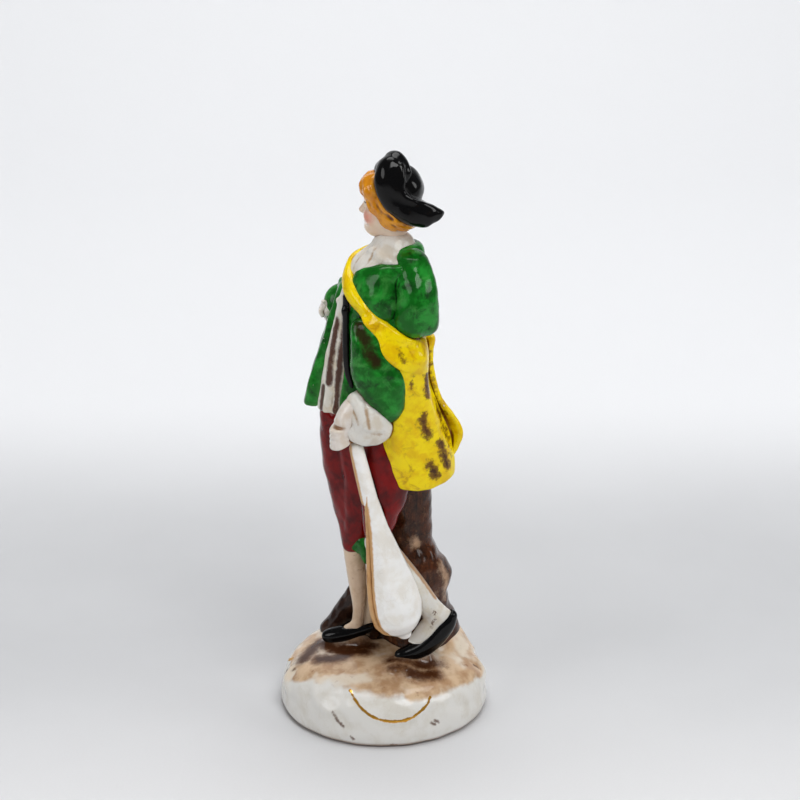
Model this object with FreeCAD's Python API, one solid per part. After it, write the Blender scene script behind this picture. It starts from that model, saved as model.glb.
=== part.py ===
"""Glazed porcelain figurine of a strolling lute player, standing before a tree trunk on a round mound.

Millimetres, +Z up, origin at the centre of the foot ring. The player walks towards -Y and his left
side is +X. The pieces are the ones a figurine maker casts or models separately and joins with
slip before firing, so every piece is a solid of its own and neighbours meet face to face.
"""
import FreeCAD, Part
import math
import os

from FreeCAD import Matrix, Vector

# Driving dimensions
BASE_RADIUS = 27.0
MOUND_HEIGHT = 15.4
OVERALL_HEIGHT = 148.0
BASE_WALL = 2.8
FOOT_RECESS = 1.0
FOOT_RING_WIDTH = 3.0
VENT_RADIUS = 1.8

# Heights of the figure, from the ground up
ANKLE_Z = 20.0
KNEE_Z = 42.0
BENT_KNEE_Z = 47.0
HIP_Z = 80.0
WAIST_Z = 96.0
CHEST_Z = 110.0
SHOULDER_Z = 121.0
CHIN_Z = 126.0
HEAD_CENTRE_Z = 133.5

# Turns of the figure, in degrees about +Z (positive turns the front towards +X)
CHEST_TURN = 14.0
HEAD_TURN = -14.0
FRONT_OPENING = 27.0
SIDE_SEAM = 100.0

# Coat
COAT_THICKNESS = 2.2
COAT_FLARE = 2.0

# Lute, which leans on the left calf and rises to the left hand
LUTE_BOTTOM = Vector(11.2, 4.4, 24.6)
LUTE_LENGTH = 52.0
LUTE_LEAN_FORWARD = 12.0
LUTE_LEAN_OUT = 2.2
LUTE_TURN = 40.0
SOUNDBOARD_THICKNESS = 1.1

RING_POINTS = 12
UP = Vector(0, 0, 1)
PARTS_FOLDER = "parts"


def ring(centre, across, along, half_across, half_along):
    """Closed smooth oval about centre, in the plane of the two unit directions."""
    points = []
    for step in range(RING_POINTS):
        angle = 2 * math.pi * step / RING_POINTS
        offset = across * (half_across * math.cos(angle)) + along * (half_along * math.sin(angle))
        points.append(centre + offset)
    curve = Part.BSplineCurve()
    curve.interpolate(Points=points, PeriodicFlag=True)
    return Part.Wire([curve.toShape()])


def level_ring(x, y, z, half_x, half_y, turn=0.0):
    """Horizontal oval at height z."""
    angle = math.radians(turn)
    across = Vector(math.cos(angle), math.sin(angle), 0)
    along = Vector(-math.sin(angle), math.cos(angle), 0)
    return ring(Vector(x, y, z), across, along, half_x, half_y)


def column(stations, turn=0.0):
    """Smooth solid through level ovals given as (x, y, z, half_x, half_y)."""
    return Part.makeLoft([level_ring(*station, turn) for station in stations], True, False)


def limb(stations, side=Vector(1, 0, 0)):
    """Smooth solid along a path of (x, y, z, half_side, half_other), its ovals square to the path."""
    centres = [Vector(*station[:3]) for station in stations]
    wires = []
    for index, station in enumerate(stations):
        before = centres[max(index - 1, 0)]
        after = centres[min(index + 1, len(centres) - 1)]
        run = (after - before).normalize()
        across = (side - run * side.dot(run)).normalize()
        wires.append(ring(centres[index], across, run.cross(across), station[3], station[4]))
    return Part.makeLoft(wires, True, False)


def blob(centre, half_sizes, turn=0.0, lean=0.0):
    """Ellipsoid, leaned about its own X axis and then turned about +Z."""
    shaped = Matrix()
    shaped.scale(Vector(*half_sizes))
    shaped.rotateX(math.radians(lean))
    shaped.rotateZ(math.radians(turn))
    shaped.move(Vector(*centre))
    return Part.makeSphere(1.0).transformGeometry(shaped)


def wedge(start, end, centre, reach=60.0):
    """Upright wedge between two directions, in degrees from the chest's front towards +X."""
    corners = [centre]
    steps = 4
    for step in range(steps + 1):
        angle = math.radians(CHEST_TURN + start + (end - start) * step / steps)
        corners.append(centre + Vector(math.sin(angle), -math.cos(angle), 0) * reach)
    corners.append(centre)
    face = Part.Face(Part.makePolygon(corners))
    return face.extrude(UP * OVERALL_HEIGHT)


def fitted(shape, *neighbours):
    """The shape with its neighbours' room taken out, as its largest single solid."""
    rest = shape.cut(list(neighbours)) if neighbours else shape
    return max(rest.Solids, key=lambda solid: solid.Volume)


def make_base():
    """Round mound: a thin cast shell with a recessed underside and a vent hole for firing."""
    outline = Part.BSplineCurve()
    outline.interpolate([
        Vector(BASE_RADIUS - 0.5, 0, 0),
        Vector(BASE_RADIUS, 0, 1.6),
        Vector(BASE_RADIUS - 0.6, 0, 6.0),
        Vector(BASE_RADIUS - 2.1, 0, 10.2),
        Vector(BASE_RADIUS - 5.2, 0, 12.9),
        Vector(BASE_RADIUS - 13.0, 0, 14.6),
        Vector(0, 0, MOUND_HEIGHT),
    ])
    axis_line = Part.makeLine(Vector(0, 0, MOUND_HEIGHT), Vector(0, 0, 0))
    foot_line = Part.makeLine(Vector(0, 0, 0), Vector(BASE_RADIUS - 0.5, 0, 0))
    section = Part.Face(Part.Wire([outline.toShape(), axis_line, foot_line]))
    outside = section.revolve(Vector(0, 0, 0), UP, 360)

    inner_radius = BASE_RADIUS - FOOT_RING_WIDTH
    floor_z = FOOT_RECESS + BASE_WALL
    roof_z = MOUND_HEIGHT - BASE_WALL
    hollow = Part.BSplineCurve()
    hollow.interpolate([
        Vector(inner_radius - 1.0, 0, floor_z),
        Vector(inner_radius - 1.6, 0, roof_z - 4.0),
        Vector(inner_radius - 5.4, 0, roof_z - 1.6),
        Vector(0, 0, roof_z),
    ])
    hollow_axis = Part.makeLine(Vector(0, 0, roof_z), Vector(0, 0, floor_z))
    hollow_floor = Part.makeLine(Vector(0, 0, floor_z), Vector(inner_radius - 1.0, 0, floor_z))
    cavity_section = Part.Face(Part.Wire([hollow.toShape(), hollow_axis, hollow_floor]))
    cavity = cavity_section.revolve(Vector(0, 0, 0), UP, 360)

    recess = Part.makeCylinder(inner_radius, FOOT_RECESS)
    vent = Part.makeCylinder(VENT_RADIUS, floor_z + 1.0)
    return fitted(outside, cavity, recess, vent)


def make_right_shoe(base):
    """Low slipper of the leading foot, flat on the ground."""
    shoe = limb([
        (-2.4, -3.9, 17.4, 1.3, 1.6),
        (-2.4, -5.0, 17.4, 2.3, 3.0),
        (-2.5, -8.0, 16.8, 2.5, 2.8),
        (-2.8, -12.0, 16.0, 2.7, 2.4),
        (-3.1, -14.9, 15.4, 2.3, 1.8),
        (-3.2, -16.1, 15.2, 1.1, 0.9),
    ])
    return fitted(shoe, base)


def make_left_shoe(base, lute_pieces):
    """Slipper of the trailing foot, toe down and heel raised."""
    shoe = limb([
        (7.4, 3.4, 15.2, 1.0, 0.9),
        (7.3, 4.9, 15.6, 2.2, 1.6),
        (7.0, 8.6, 17.2, 2.8, 2.6),
        (6.6, 12.8, 20.6, 2.5, 2.6),
        (6.3, 16.0, 24.2, 2.3, 2.7),
        (6.2, 17.4, 26.6, 1.4, 1.7),
    ])
    return fitted(shoe, base, *lute_pieces)


def make_right_stocking(base, shoe):
    """Straight calf of the leading leg, from the slipper up into the breeches."""
    calf = column([
        (-2.6, -7.8, ANKLE_Z - 2.4, 2.3, 3.4),
        (-2.6, -6.9, ANKLE_Z + 2.4, 1.9, 2.0),
        (-2.6, -6.4, ANKLE_Z + 8.0, 2.0, 2.1),
        (-2.7, -6.7, ANKLE_Z + 15.0, 2.9, 2.9),
        (-2.8, -7.5, KNEE_Z + 0.5, 3.0, 3.2),
        (-2.9, -7.7, KNEE_Z + 6.0, 3.1, 3.3),
    ])
    return fitted(calf, base, shoe)


def make_left_stocking(base, shoe, lute_pieces):
    """Calf of the trailing leg, running back and down from the bent knee."""
    calf = limb([
        (6.0, -1.4, BENT_KNEE_Z + 4.4, 3.0, 3.2),
        (6.1, 1.2, BENT_KNEE_Z - 1.4, 3.0, 3.2),
        (6.2, 5.4, BENT_KNEE_Z - 7.4, 3.0, 3.3),
        (6.3, 9.9, BENT_KNEE_Z - 13.6, 2.4, 2.9),
        (6.4, 12.6, ANKLE_Z + 7.4, 2.2, 2.7),
        (6.6, 11.8, ANKLE_Z + 2.4, 2.0, 2.6),
    ])
    return fitted(calf, base, shoe, *lute_pieces)


def make_right_breeches(stocking, lute_pieces):
    """Full breeches leg of the leading leg, gathered under the knee."""
    leg = column([
        (-2.9, -7.7, KNEE_Z - 1.0, 3.2, 3.5),
        (-3.0, -7.8, KNEE_Z + 3.0, 4.2, 4.2),
        (-3.0, -8.0, KNEE_Z + 10.0, 5.2, 5.2),
        (-3.0, -8.3, KNEE_Z + 20.0, 6.2, 6.6),
        (-2.8, -8.0, KNEE_Z + 30.0, 6.8, 8.0),
        (-2.4, -7.4, HIP_Z + 1.0, 7.2, 8.4),
        (-2.2, -6.4, HIP_Z + 6.0, 6.6, 7.6),
    ])
    return fitted(leg, stocking, *lute_pieces)


def make_left_breeches(stocking, right_leg, lute_pieces):
    """Full breeches leg of the trailing leg, down to the bent knee."""
    leg = column([
        (6.0, 0.2, BENT_KNEE_Z - 2.6, 2.7, 2.4),
        (5.8, -0.5, BENT_KNEE_Z + 2.0, 3.8, 3.4),
        (5.4, -0.8, BENT_KNEE_Z + 8.0, 4.8, 4.8),
        (4.8, -0.6, BENT_KNEE_Z + 15.0, 5.9, 7.0),
        (4.0, -0.8, BENT_KNEE_Z + 24.0, 6.8, 8.0),
        (3.2, -1.4, HIP_Z + 1.0, 7.2, 8.2),
        (2.6, -1.8, HIP_Z + 6.0, 6.6, 7.4),
    ])
    return fitted(leg, stocking, right_leg, *lute_pieces)


def make_garter_bow(stocking, breeches, lute_pieces):
    """Ribbon loop that ties the leading leg's breeches under the knee."""
    loop = blob((0.6, -5.0, KNEE_Z + 0.8), (1.6, 1.9, 3.4), turn=20, lean=12)
    return fitted(loop, stocking, breeches, *lute_pieces)


def make_tree_trunk(base, legs):
    """Cut tree trunk that props the figure, with a burr low down."""
    trunk = column([
        (-7.4, 9.8, MOUND_HEIGHT - 2.0, 9.2, 10.2),
        (-5.8, 9.0, MOUND_HEIGHT + 5.0, 7.6, 9.2),
        (-5.2, 8.2, MOUND_HEIGHT + 14.0, 7.0, 9.2),
        (-5.2, 7.2, MOUND_HEIGHT + 21.0, 6.6, 8.8),
        (-5.0, 5.6, MOUND_HEIGHT + 28.0, 6.2, 7.4),
        (-5.0, 5.4, MOUND_HEIGHT + 41.0, 6.0, 7.2),
        (-5.0, 5.8, MOUND_HEIGHT + 56.0, 5.6, 6.8),
        (-5.0, 6.0, MOUND_HEIGHT + 61.0, 4.0, 5.0),
    ])
    return fitted(trunk, base, *legs)


def make_tree_root(neighbours):
    """Root that leaves the trunk and runs down to the ground behind the leading foot."""
    root = limb([
        (-8.4, 0.0, MOUND_HEIGHT + 17.6, 2.2, 2.6),
        (-8.8, -4.6, MOUND_HEIGHT + 14.2, 2.2, 2.6),
        (-9.4, -8.6, MOUND_HEIGHT + 8.4, 2.2, 2.6),
        (-10.0, -11.6, MOUND_HEIGHT + 3.0, 2.4, 2.6),
        (-10.8, -15.0, MOUND_HEIGHT - 1.6, 2.4, 2.2),
    ])
    return fitted(root, *neighbours)


def make_lute():
    """Pear-shaped bowl, flat soundboard, neck and bent pegbox."""
    stations = [
        (0.0, 2.4, 1.6),
        (3.0, 5.4, 4.6),
        (9.0, 6.8, 6.4),
        (16.0, 6.0, 5.6),
        (24.0, 4.0, 3.8),
        (32.0, 2.7, 2.6),
        (40.0, 2.0, 2.1),
    ]
    forward = math.tan(math.radians(LUTE_LEAN_FORWARD))
    out = math.tan(math.radians(LUTE_LEAN_OUT))
    turn = math.radians(LUTE_TURN)
    rise = Vector(out, -forward, 1).normalize()
    across = rise.cross(Vector(-math.cos(turn), -math.sin(turn), 0)).normalize()
    outward = across.cross(rise).normalize()

    def rings(depths):
        return [
            ring(LUTE_BOTTOM + rise * up, outward, across, depth, wide)
            for (up, wide, _), depth in zip(stations, depths)
        ]

    room = Part.makeBox(30, 60, 100, Vector(0, -30, -15))
    heading = FreeCAD.Rotation(outward, across, rise, "XYZ")
    room.Placement = FreeCAD.Placement(LUTE_BOTTOM, heading).multiply(room.Placement)
    pear = Part.makeLoft(rings([deep for _, _, deep in stations]), True, False)
    bowl = pear.common(room)
    board = Part.makeLoft(rings([SOUNDBOARD_THICKNESS] * len(stations)), True, False)
    soundboard = fitted(board, room)

    neck_start = LUTE_BOTTOM + rise * stations[-1][0]
    neck_top = LUTE_BOTTOM + rise * LUTE_LENGTH
    neck_wires = [
        ring(neck_start, outward, across, 2.1, 1.9),
        ring((neck_start + neck_top) * 0.5, outward, across, 1.9, 1.9),
        ring(neck_top, outward, across, 1.9, 2.0),
    ]
    neck = fitted(Part.makeLoft(neck_wires, True, False), soundboard, bowl)
    pegbox = limb([
        (neck_top.x - 0.2, neck_top.y, neck_top.z, 1.5, 1.6),
        (neck_top.x - 1.6, neck_top.y - 0.2, neck_top.z + 2.4, 1.4, 1.5),
        (neck_top.x - 4.2, neck_top.y + 0.2, neck_top.z + 4.4, 1.1, 1.2),
    ])
    return fitted(bowl), soundboard, neck, fitted(pegbox, neck)


def make_left_hand(lute_pieces):
    """Fist that grips the lute's neck."""
    fist = blob((13.0, -9.6, 79.0), (3.2, 3.5, 3.7), lean=-8)
    wrist = limb([
        (13.0, -8.6, 80.0, 2.6, 2.8),
        (12.8, -7.4, 85.0, 2.4, 2.4),
        (12.4, -5.4, 89.0, 2.2, 2.2),
    ])
    return fitted(fist.fuse(wrist), *lute_pieces)


def make_left_cuff(hand, lute_pieces):
    """Wide shirt cuff folded back over the sleeve."""
    cuff = limb([
        (12.6, -6.2, 87.6, 3.4, 2.6),
        (13.2, -4.8, 84.6, 4.3, 4.6),
        (13.4, -3.6, 81.4, 4.4, 5.6),
        (13.2, -3.2, 78.6, 3.6, 4.8),
    ])
    return fitted(cuff, hand, *lute_pieces)


def make_left_sleeve(neighbours):
    """Bell-shaped lower sleeve, hanging from the elbow to the cuff."""
    sleeve = limb([
        (10.8, 0.2, 106.0, 3.4, 5.6),
        (11.6, -0.8, 100.0, 4.4, 6.6),
        (12.4, -0.6, 93.0, 4.7, 6.6),
        (12.6, 0.6, 87.0, 4.2, 5.4),
        (12.4, 2.4, 82.6, 2.4, 2.6),
    ])
    return fitted(sleeve, *neighbours)


def make_left_shoulder(neighbours):
    """Puffed upper sleeve with a turned hem."""
    puff = column([
        (9.0, 4.6, 103.6, 4.6, 8.2),
        (9.4, 4.8, 108.0, 5.4, 8.2),
        (9.2, 4.6, 114.0, 5.6, 8.4),
        (8.0, 5.0, 119.0, 4.8, 7.2),
        (6.0, 6.0, 123.5, 3.6, 4.6),
    ])
    return fitted(puff, *neighbours)


def make_sash():
    """Band from the right shoulder across the chest and over the crook of the left arm."""
    return limb([
        (-2.6, -3.6, SHOULDER_Z + 4.0, 1.7, 1.9),
        (0.6, -7.2, SHOULDER_Z + 0.6, 1.8, 2.0),
        (5.0, -9.0, SHOULDER_Z - 5.0, 1.9, 2.1),
        (9.2, -6.8, CHEST_Z + 0.6, 2.0, 2.2),
        (13.0, -3.0, CHEST_Z - 4.6, 2.2, 2.2),
        (15.0, 1.4, WAIST_Z + 5.4, 2.2, 2.4),
        (14.0, 5.6, WAIST_Z + 3.0, 2.2, 2.8),
        (11.0, 8.6, WAIST_Z + 1.6, 2.2, 3.0),
    ], side=Vector(0.86, -0.5, 0))


def make_cape(neighbours):
    """Short cape hanging from the sash over the left hip, flaring to its hem."""
    sheet = column([
        (7.6, 9.0, CHEST_Z - 5.4, 3.0, 3.8),
        (8.8, 8.4, WAIST_Z + 2.0, 4.4, 4.4),
        (9.4, 8.2, WAIST_Z - 6.0, 4.2, 5.4),
        (9.8, 8.2, HIP_Z, 3.4, 7.4),
        (9.6, 9.4, HIP_Z - 9.0, 2.8, 7.6),
        (9.0, 10.8, HIP_Z - 17.4, 2.2, 6.4),
    ])
    return fitted(sheet, *neighbours)


def make_cape_fold(neighbours):
    """Rear fold of the cape, swinging out behind the coat."""
    fold = column([
        (3.6, 11.2, CHEST_Z - 7.0, 2.8, 2.2),
        (3.8, 11.4, WAIST_Z - 2.0, 3.4, 2.8),
        (4.0, 12.8, HIP_Z + 4.0, 4.2, 4.6),
        (4.0, 14.8, HIP_Z - 4.0, 4.0, 5.6),
        (4.0, 13.4, HIP_Z - 11.0, 2.6, 3.8),
    ])
    return fitted(fold, *neighbours)


def torso_column(thickness, flare):
    """The body from the hips to the shoulders, thickened by the coat, which flares at its hem."""
    return column([
        (-1.2, -5.6, HIP_Z - 0.5, 8.6 + thickness + flare * 0.3, 10.6 + thickness + flare),
        (-0.8, -4.2, HIP_Z + 8.0, 7.8 + thickness, 9.2 + thickness + flare * 0.5),
        (-0.2, -2.4, WAIST_Z, 7.2 + thickness, 8.0 + thickness),
        (0.2, -0.6, CHEST_Z - 4.0, 8.2 + thickness, 8.0 + thickness),
        (0.4, 0.4, CHEST_Z + 4.0, 8.6 + thickness, 8.4 + thickness),
        (0.6, 2.0, SHOULDER_Z - 1.0, 6.8 + thickness, 7.0 + thickness),
    ], turn=CHEST_TURN)


def make_coat(core, outer_pieces):
    """Open coat in three panels: two fronts and the back."""
    shell = torso_column(COAT_THICKNESS, COAT_FLARE).cut([core] + outer_pieces)
    axis = Vector(0, -1.0, 0)
    right_front = shell.common(wedge(-SIDE_SEAM, -FRONT_OPENING, axis))
    left_front = shell.common(wedge(FRONT_OPENING, SIDE_SEAM, axis))
    back = shell.common(wedge(SIDE_SEAM, 360 - SIDE_SEAM, axis))
    return fitted(right_front), fitted(left_front), fitted(back)


def make_right_arm(core):
    """Bent right arm: sleeve, white cuff and hand, held before the chest."""
    sleeve = limb([
        (-6.6, 3.0, 118.6, 3.2, 3.6),
        (-9.6, 0.4, 113.0, 3.8, 4.0),
        (-11.0, -2.8, 106.0, 3.6, 3.8),
        (-10.2, -7.6, 103.6, 3.0, 3.2),
        (-8.2, -12.0, 105.8, 2.8, 3.4),
    ])
    cuff = limb([
        (-8.6, -11.2, 105.4, 3.0, 3.4),
        (-7.6, -14.2, 106.2, 2.8, 3.0),
    ])
    hand = blob((-6.4, -14.8, 107.4), (2.2, 2.0, 2.6), turn=20)
    hand = fitted(hand, core)
    cuff = fitted(cuff, core, hand)
    sleeve = fitted(sleeve, core, cuff, hand)
    return sleeve, cuff, hand


def make_ribbon(neighbours):
    """Black ribbon hanging from the sash over the coat's left front."""
    ribbon = limb([
        (6.6, -8.6, CHEST_Z + 2.0, 1.3, 1.6),
        (7.2, -8.8, CHEST_Z - 5.0, 1.3, 1.6),
        (7.4, -9.2, WAIST_Z, 1.3, 1.6),
        (7.8, -9.6, WAIST_Z - 6.0, 1.2, 1.5),
    ])
    return fitted(ribbon, *neighbours)


def make_shirt_collar(core, outer_pieces):
    """Open shirt collar and frill around the neck."""
    collar = column([
        (1.4, 0.6, 116.0, 7.6, 8.0),
        (1.4, 1.6, SHOULDER_Z, 7.0, 7.4),
        (1.0, 2.8, SHOULDER_Z + 4.2, 5.0, 5.6),
        (0.8, 3.2, CHIN_Z + 0.6, 4.2, 5.0),
    ])
    return fitted(collar, core, *outer_pieces)


def make_coat_collar(shirt_collar, core, outer_pieces):
    """Standing collar of the coat at the nape."""
    collar = column([
        (1.0, 4.6, SHOULDER_Z - 2.6, 6.6, 6.2),
        (1.0, 4.8, SHOULDER_Z + 1.6, 5.8, 5.4),
        (1.0, 5.0, SHOULDER_Z + 4.0, 5.2, 4.8),
    ])
    return fitted(collar, shirt_collar, core, *outer_pieces)


def make_head(neighbours):
    """Head and neck, turned a little to the right."""
    skull = blob((0, 1.5, HEAD_CENTRE_Z + 0.4), (5.8, 6.9, 7.4), turn=HEAD_TURN, lean=-6)
    jaw = blob((-0.4, -1.0, HEAD_CENTRE_Z - 2.4), (4.6, 4.9, 5.6), turn=HEAD_TURN, lean=-6)
    neck = column([
        (0.6, 3.0, CHIN_Z - 2.0, 3.5, 3.9),
        (0.4, 2.8, CHIN_Z + 4.0, 3.3, 3.7),
    ])
    return fitted(skull.fuse([jaw, neck]), *neighbours)


def make_hair(head, neck_pieces):
    """Bobbed hair around the face, under the hat."""
    cap = blob((0, 2.2, HEAD_CENTRE_Z + 1.0), (6.7, 8.0, 8.2), turn=HEAD_TURN, lean=28)
    face_room = blob((-1.4, -6.0, HEAD_CENTRE_Z - 3.2), (5.4, 6.2, 7.6), turn=HEAD_TURN, lean=-6)
    nape_room = Part.makeBox(40, 40, 20, Vector(-20, -20, HEAD_CENTRE_Z - 25.6))
    return fitted(cap, head, face_room, nape_room, *neck_pieces)


def make_hat(head, hair):
    """Soft crown with a brim that is turned up along the left side."""
    crown = blob((0, 4.6, HEAD_CENTRE_Z + 4.4), (7.4, 6.6, 8.0), turn=HEAD_TURN, lean=34)
    brim = limb([
        (4.6, 14.0, 132.2, 1.0, 1.0),
        (5.6, 9.4, 133.2, 2.2, 3.6),
        (6.0, 5.0, 136.6, 2.4, 5.4),
        (4.6, 2.2, 141.4, 3.0, 4.2),
        (2.2, 1.6, 145.4, 3.4, 2.6),
        (0.4, 1.8, OVERALL_HEIGHT - 0.9, 1.6, 1.2),
    ])
    brim = fitted(brim, head, hair)
    crown = fitted(crown, head, hair, brim)
    return crown, brim


def build_nodes():
    """Every sub-part by name, each cut to meet the pieces made before it."""
    base = make_base()
    bowl, soundboard, neck, pegbox = make_lute()
    lute = [bowl, soundboard, neck, pegbox]
    hand = make_left_hand(lute)
    cuff = make_left_cuff(hand, lute)

    right_shoe = make_right_shoe(base)
    left_shoe = make_left_shoe(base, lute)
    right_stocking = make_right_stocking(base, right_shoe)
    left_stocking = make_left_stocking(base, left_shoe, lute)
    grip = lute + [hand, cuff]
    right_leg = make_right_breeches(right_stocking, grip)
    left_leg = make_left_breeches(left_stocking, right_leg, grip + [right_stocking])
    garter = make_garter_bow(right_stocking, right_leg, lute + [left_leg])
    legs = [right_shoe, left_shoe, right_stocking, left_stocking, right_leg, left_leg, garter]
    trunk = make_tree_trunk(base, legs + lute)
    root = make_tree_root([base, trunk] + legs)

    sash = make_sash()
    sleeve = make_left_sleeve([cuff, hand, pegbox, sash, left_leg])
    shoulder = make_left_shoulder([sleeve, sash])
    core = torso_column(0.0, 0.0)
    core = fitted(core, sash, sleeve, shoulder, right_leg, left_leg, trunk, hand, cuff, pegbox)
    right_sleeve, right_cuff, right_hand = make_right_arm(core)
    arms = [sash, sleeve, shoulder, right_sleeve, right_cuff, right_hand, hand, cuff, pegbox]
    right_front, left_front, back = make_coat(core, arms + [right_leg, left_leg, trunk])
    coat = [right_front, left_front, back]
    shirt_collar = make_shirt_collar(core, arms + coat)
    coat_collar = make_coat_collar(shirt_collar, core, arms + coat)
    clothes = arms + coat + [core, shirt_collar, coat_collar]
    ribbon = make_ribbon(clothes)
    cape = make_cape(clothes + lute + [left_leg, trunk])
    cape_fold = make_cape_fold(clothes + [cape, left_leg, trunk])
    head = make_head([shirt_collar, coat_collar, core, sash] + coat)
    hair = make_hair(head, [shirt_collar, coat_collar])
    crown, brim = make_hat(head, hair)

    return {
        "base_mound": base,
        "tree_trunk": trunk,
        "tree_root": root,
        "right_shoe": right_shoe,
        "left_shoe": left_shoe,
        "right_stocking": right_stocking,
        "left_stocking": left_stocking,
        "right_breeches_leg": right_leg,
        "left_breeches_leg": left_leg,
        "garter_bow": garter,
        "waistcoat": core,
        "coat_right_front": right_front,
        "coat_left_front": left_front,
        "coat_back": back,
        "coat_collar": coat_collar,
        "shirt_collar": shirt_collar,
        "right_sleeve": right_sleeve,
        "right_cuff": right_cuff,
        "right_hand": right_hand,
        "left_shoulder_puff": shoulder,
        "left_lower_sleeve": sleeve,
        "left_cuff": cuff,
        "left_hand": hand,
        "sash": sash,
        "black_ribbon": ribbon,
        "cape": cape,
        "cape_rear_fold": cape_fold,
        "lute_bowl": bowl,
        "lute_soundboard": soundboard,
        "lute_neck": neck,
        "lute_pegbox": pegbox,
        "head_and_neck": head,
        "hair": hair,
        "hat_crown": crown,
        "hat_brim": brim,
    }


os.makedirs(PARTS_FOLDER, exist_ok=True)
for name, shape in build_nodes().items():
    shape.exportStep(os.path.join(PARTS_FOLDER, name + ".step"))
    print(f"{name}: {shape.Volume:.1f} mm3, valid {shape.isValid()}, solids {len(shape.Solids)}")
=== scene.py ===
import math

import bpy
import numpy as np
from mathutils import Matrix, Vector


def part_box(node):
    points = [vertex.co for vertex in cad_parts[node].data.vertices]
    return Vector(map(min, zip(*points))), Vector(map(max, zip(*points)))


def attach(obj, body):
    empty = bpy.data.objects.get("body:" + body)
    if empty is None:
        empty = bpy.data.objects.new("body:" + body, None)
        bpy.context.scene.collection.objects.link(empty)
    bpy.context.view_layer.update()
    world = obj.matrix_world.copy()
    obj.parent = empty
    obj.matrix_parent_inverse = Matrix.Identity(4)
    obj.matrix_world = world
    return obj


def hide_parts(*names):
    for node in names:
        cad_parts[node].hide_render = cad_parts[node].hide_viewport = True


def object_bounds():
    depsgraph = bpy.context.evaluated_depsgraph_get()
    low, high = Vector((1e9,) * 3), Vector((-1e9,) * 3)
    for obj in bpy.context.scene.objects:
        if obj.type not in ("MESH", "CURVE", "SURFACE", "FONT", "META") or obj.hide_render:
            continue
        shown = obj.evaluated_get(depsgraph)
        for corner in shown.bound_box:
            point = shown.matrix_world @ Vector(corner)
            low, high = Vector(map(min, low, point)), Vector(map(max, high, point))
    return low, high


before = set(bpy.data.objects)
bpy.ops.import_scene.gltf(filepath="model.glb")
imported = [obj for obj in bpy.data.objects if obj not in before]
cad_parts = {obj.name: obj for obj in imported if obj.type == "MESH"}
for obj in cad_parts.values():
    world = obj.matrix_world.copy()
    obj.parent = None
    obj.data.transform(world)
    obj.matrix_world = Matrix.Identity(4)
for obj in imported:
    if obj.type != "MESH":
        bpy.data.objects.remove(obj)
cad_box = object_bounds()

# Looks of a glazed porcelain lute player. Every piece is modelled like clay: a block of distance
# values around its CAD node is built up with rolls, balls and plates, cut back and creased, and then
# turned into a closed mesh. Lengths are millimetres until a mesh is made; +Z is up, the figure walks
# towards -Y and its left side is +X, as in the CAD model.

import openvdb
from mathutils import Euler, Vector

MM = 0.001
FAR = 9.0            # distance that stands for no clay, in millimetres
ROOM = 1.0           # room left around a shape, so that its blend fits
FADE = 2.6           # widths after which a groove has died out
NEAR = 3             # distances beyond this are levelled before a piece is smoothed
BODY = "root"
SIDES = (-1, 1)      # right and left


def node_box(node):
    """Lowest and highest corners of a CAD node, in millimetres."""
    low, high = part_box(node)
    return np.array(low) / MM, np.array(high) / MM


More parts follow.
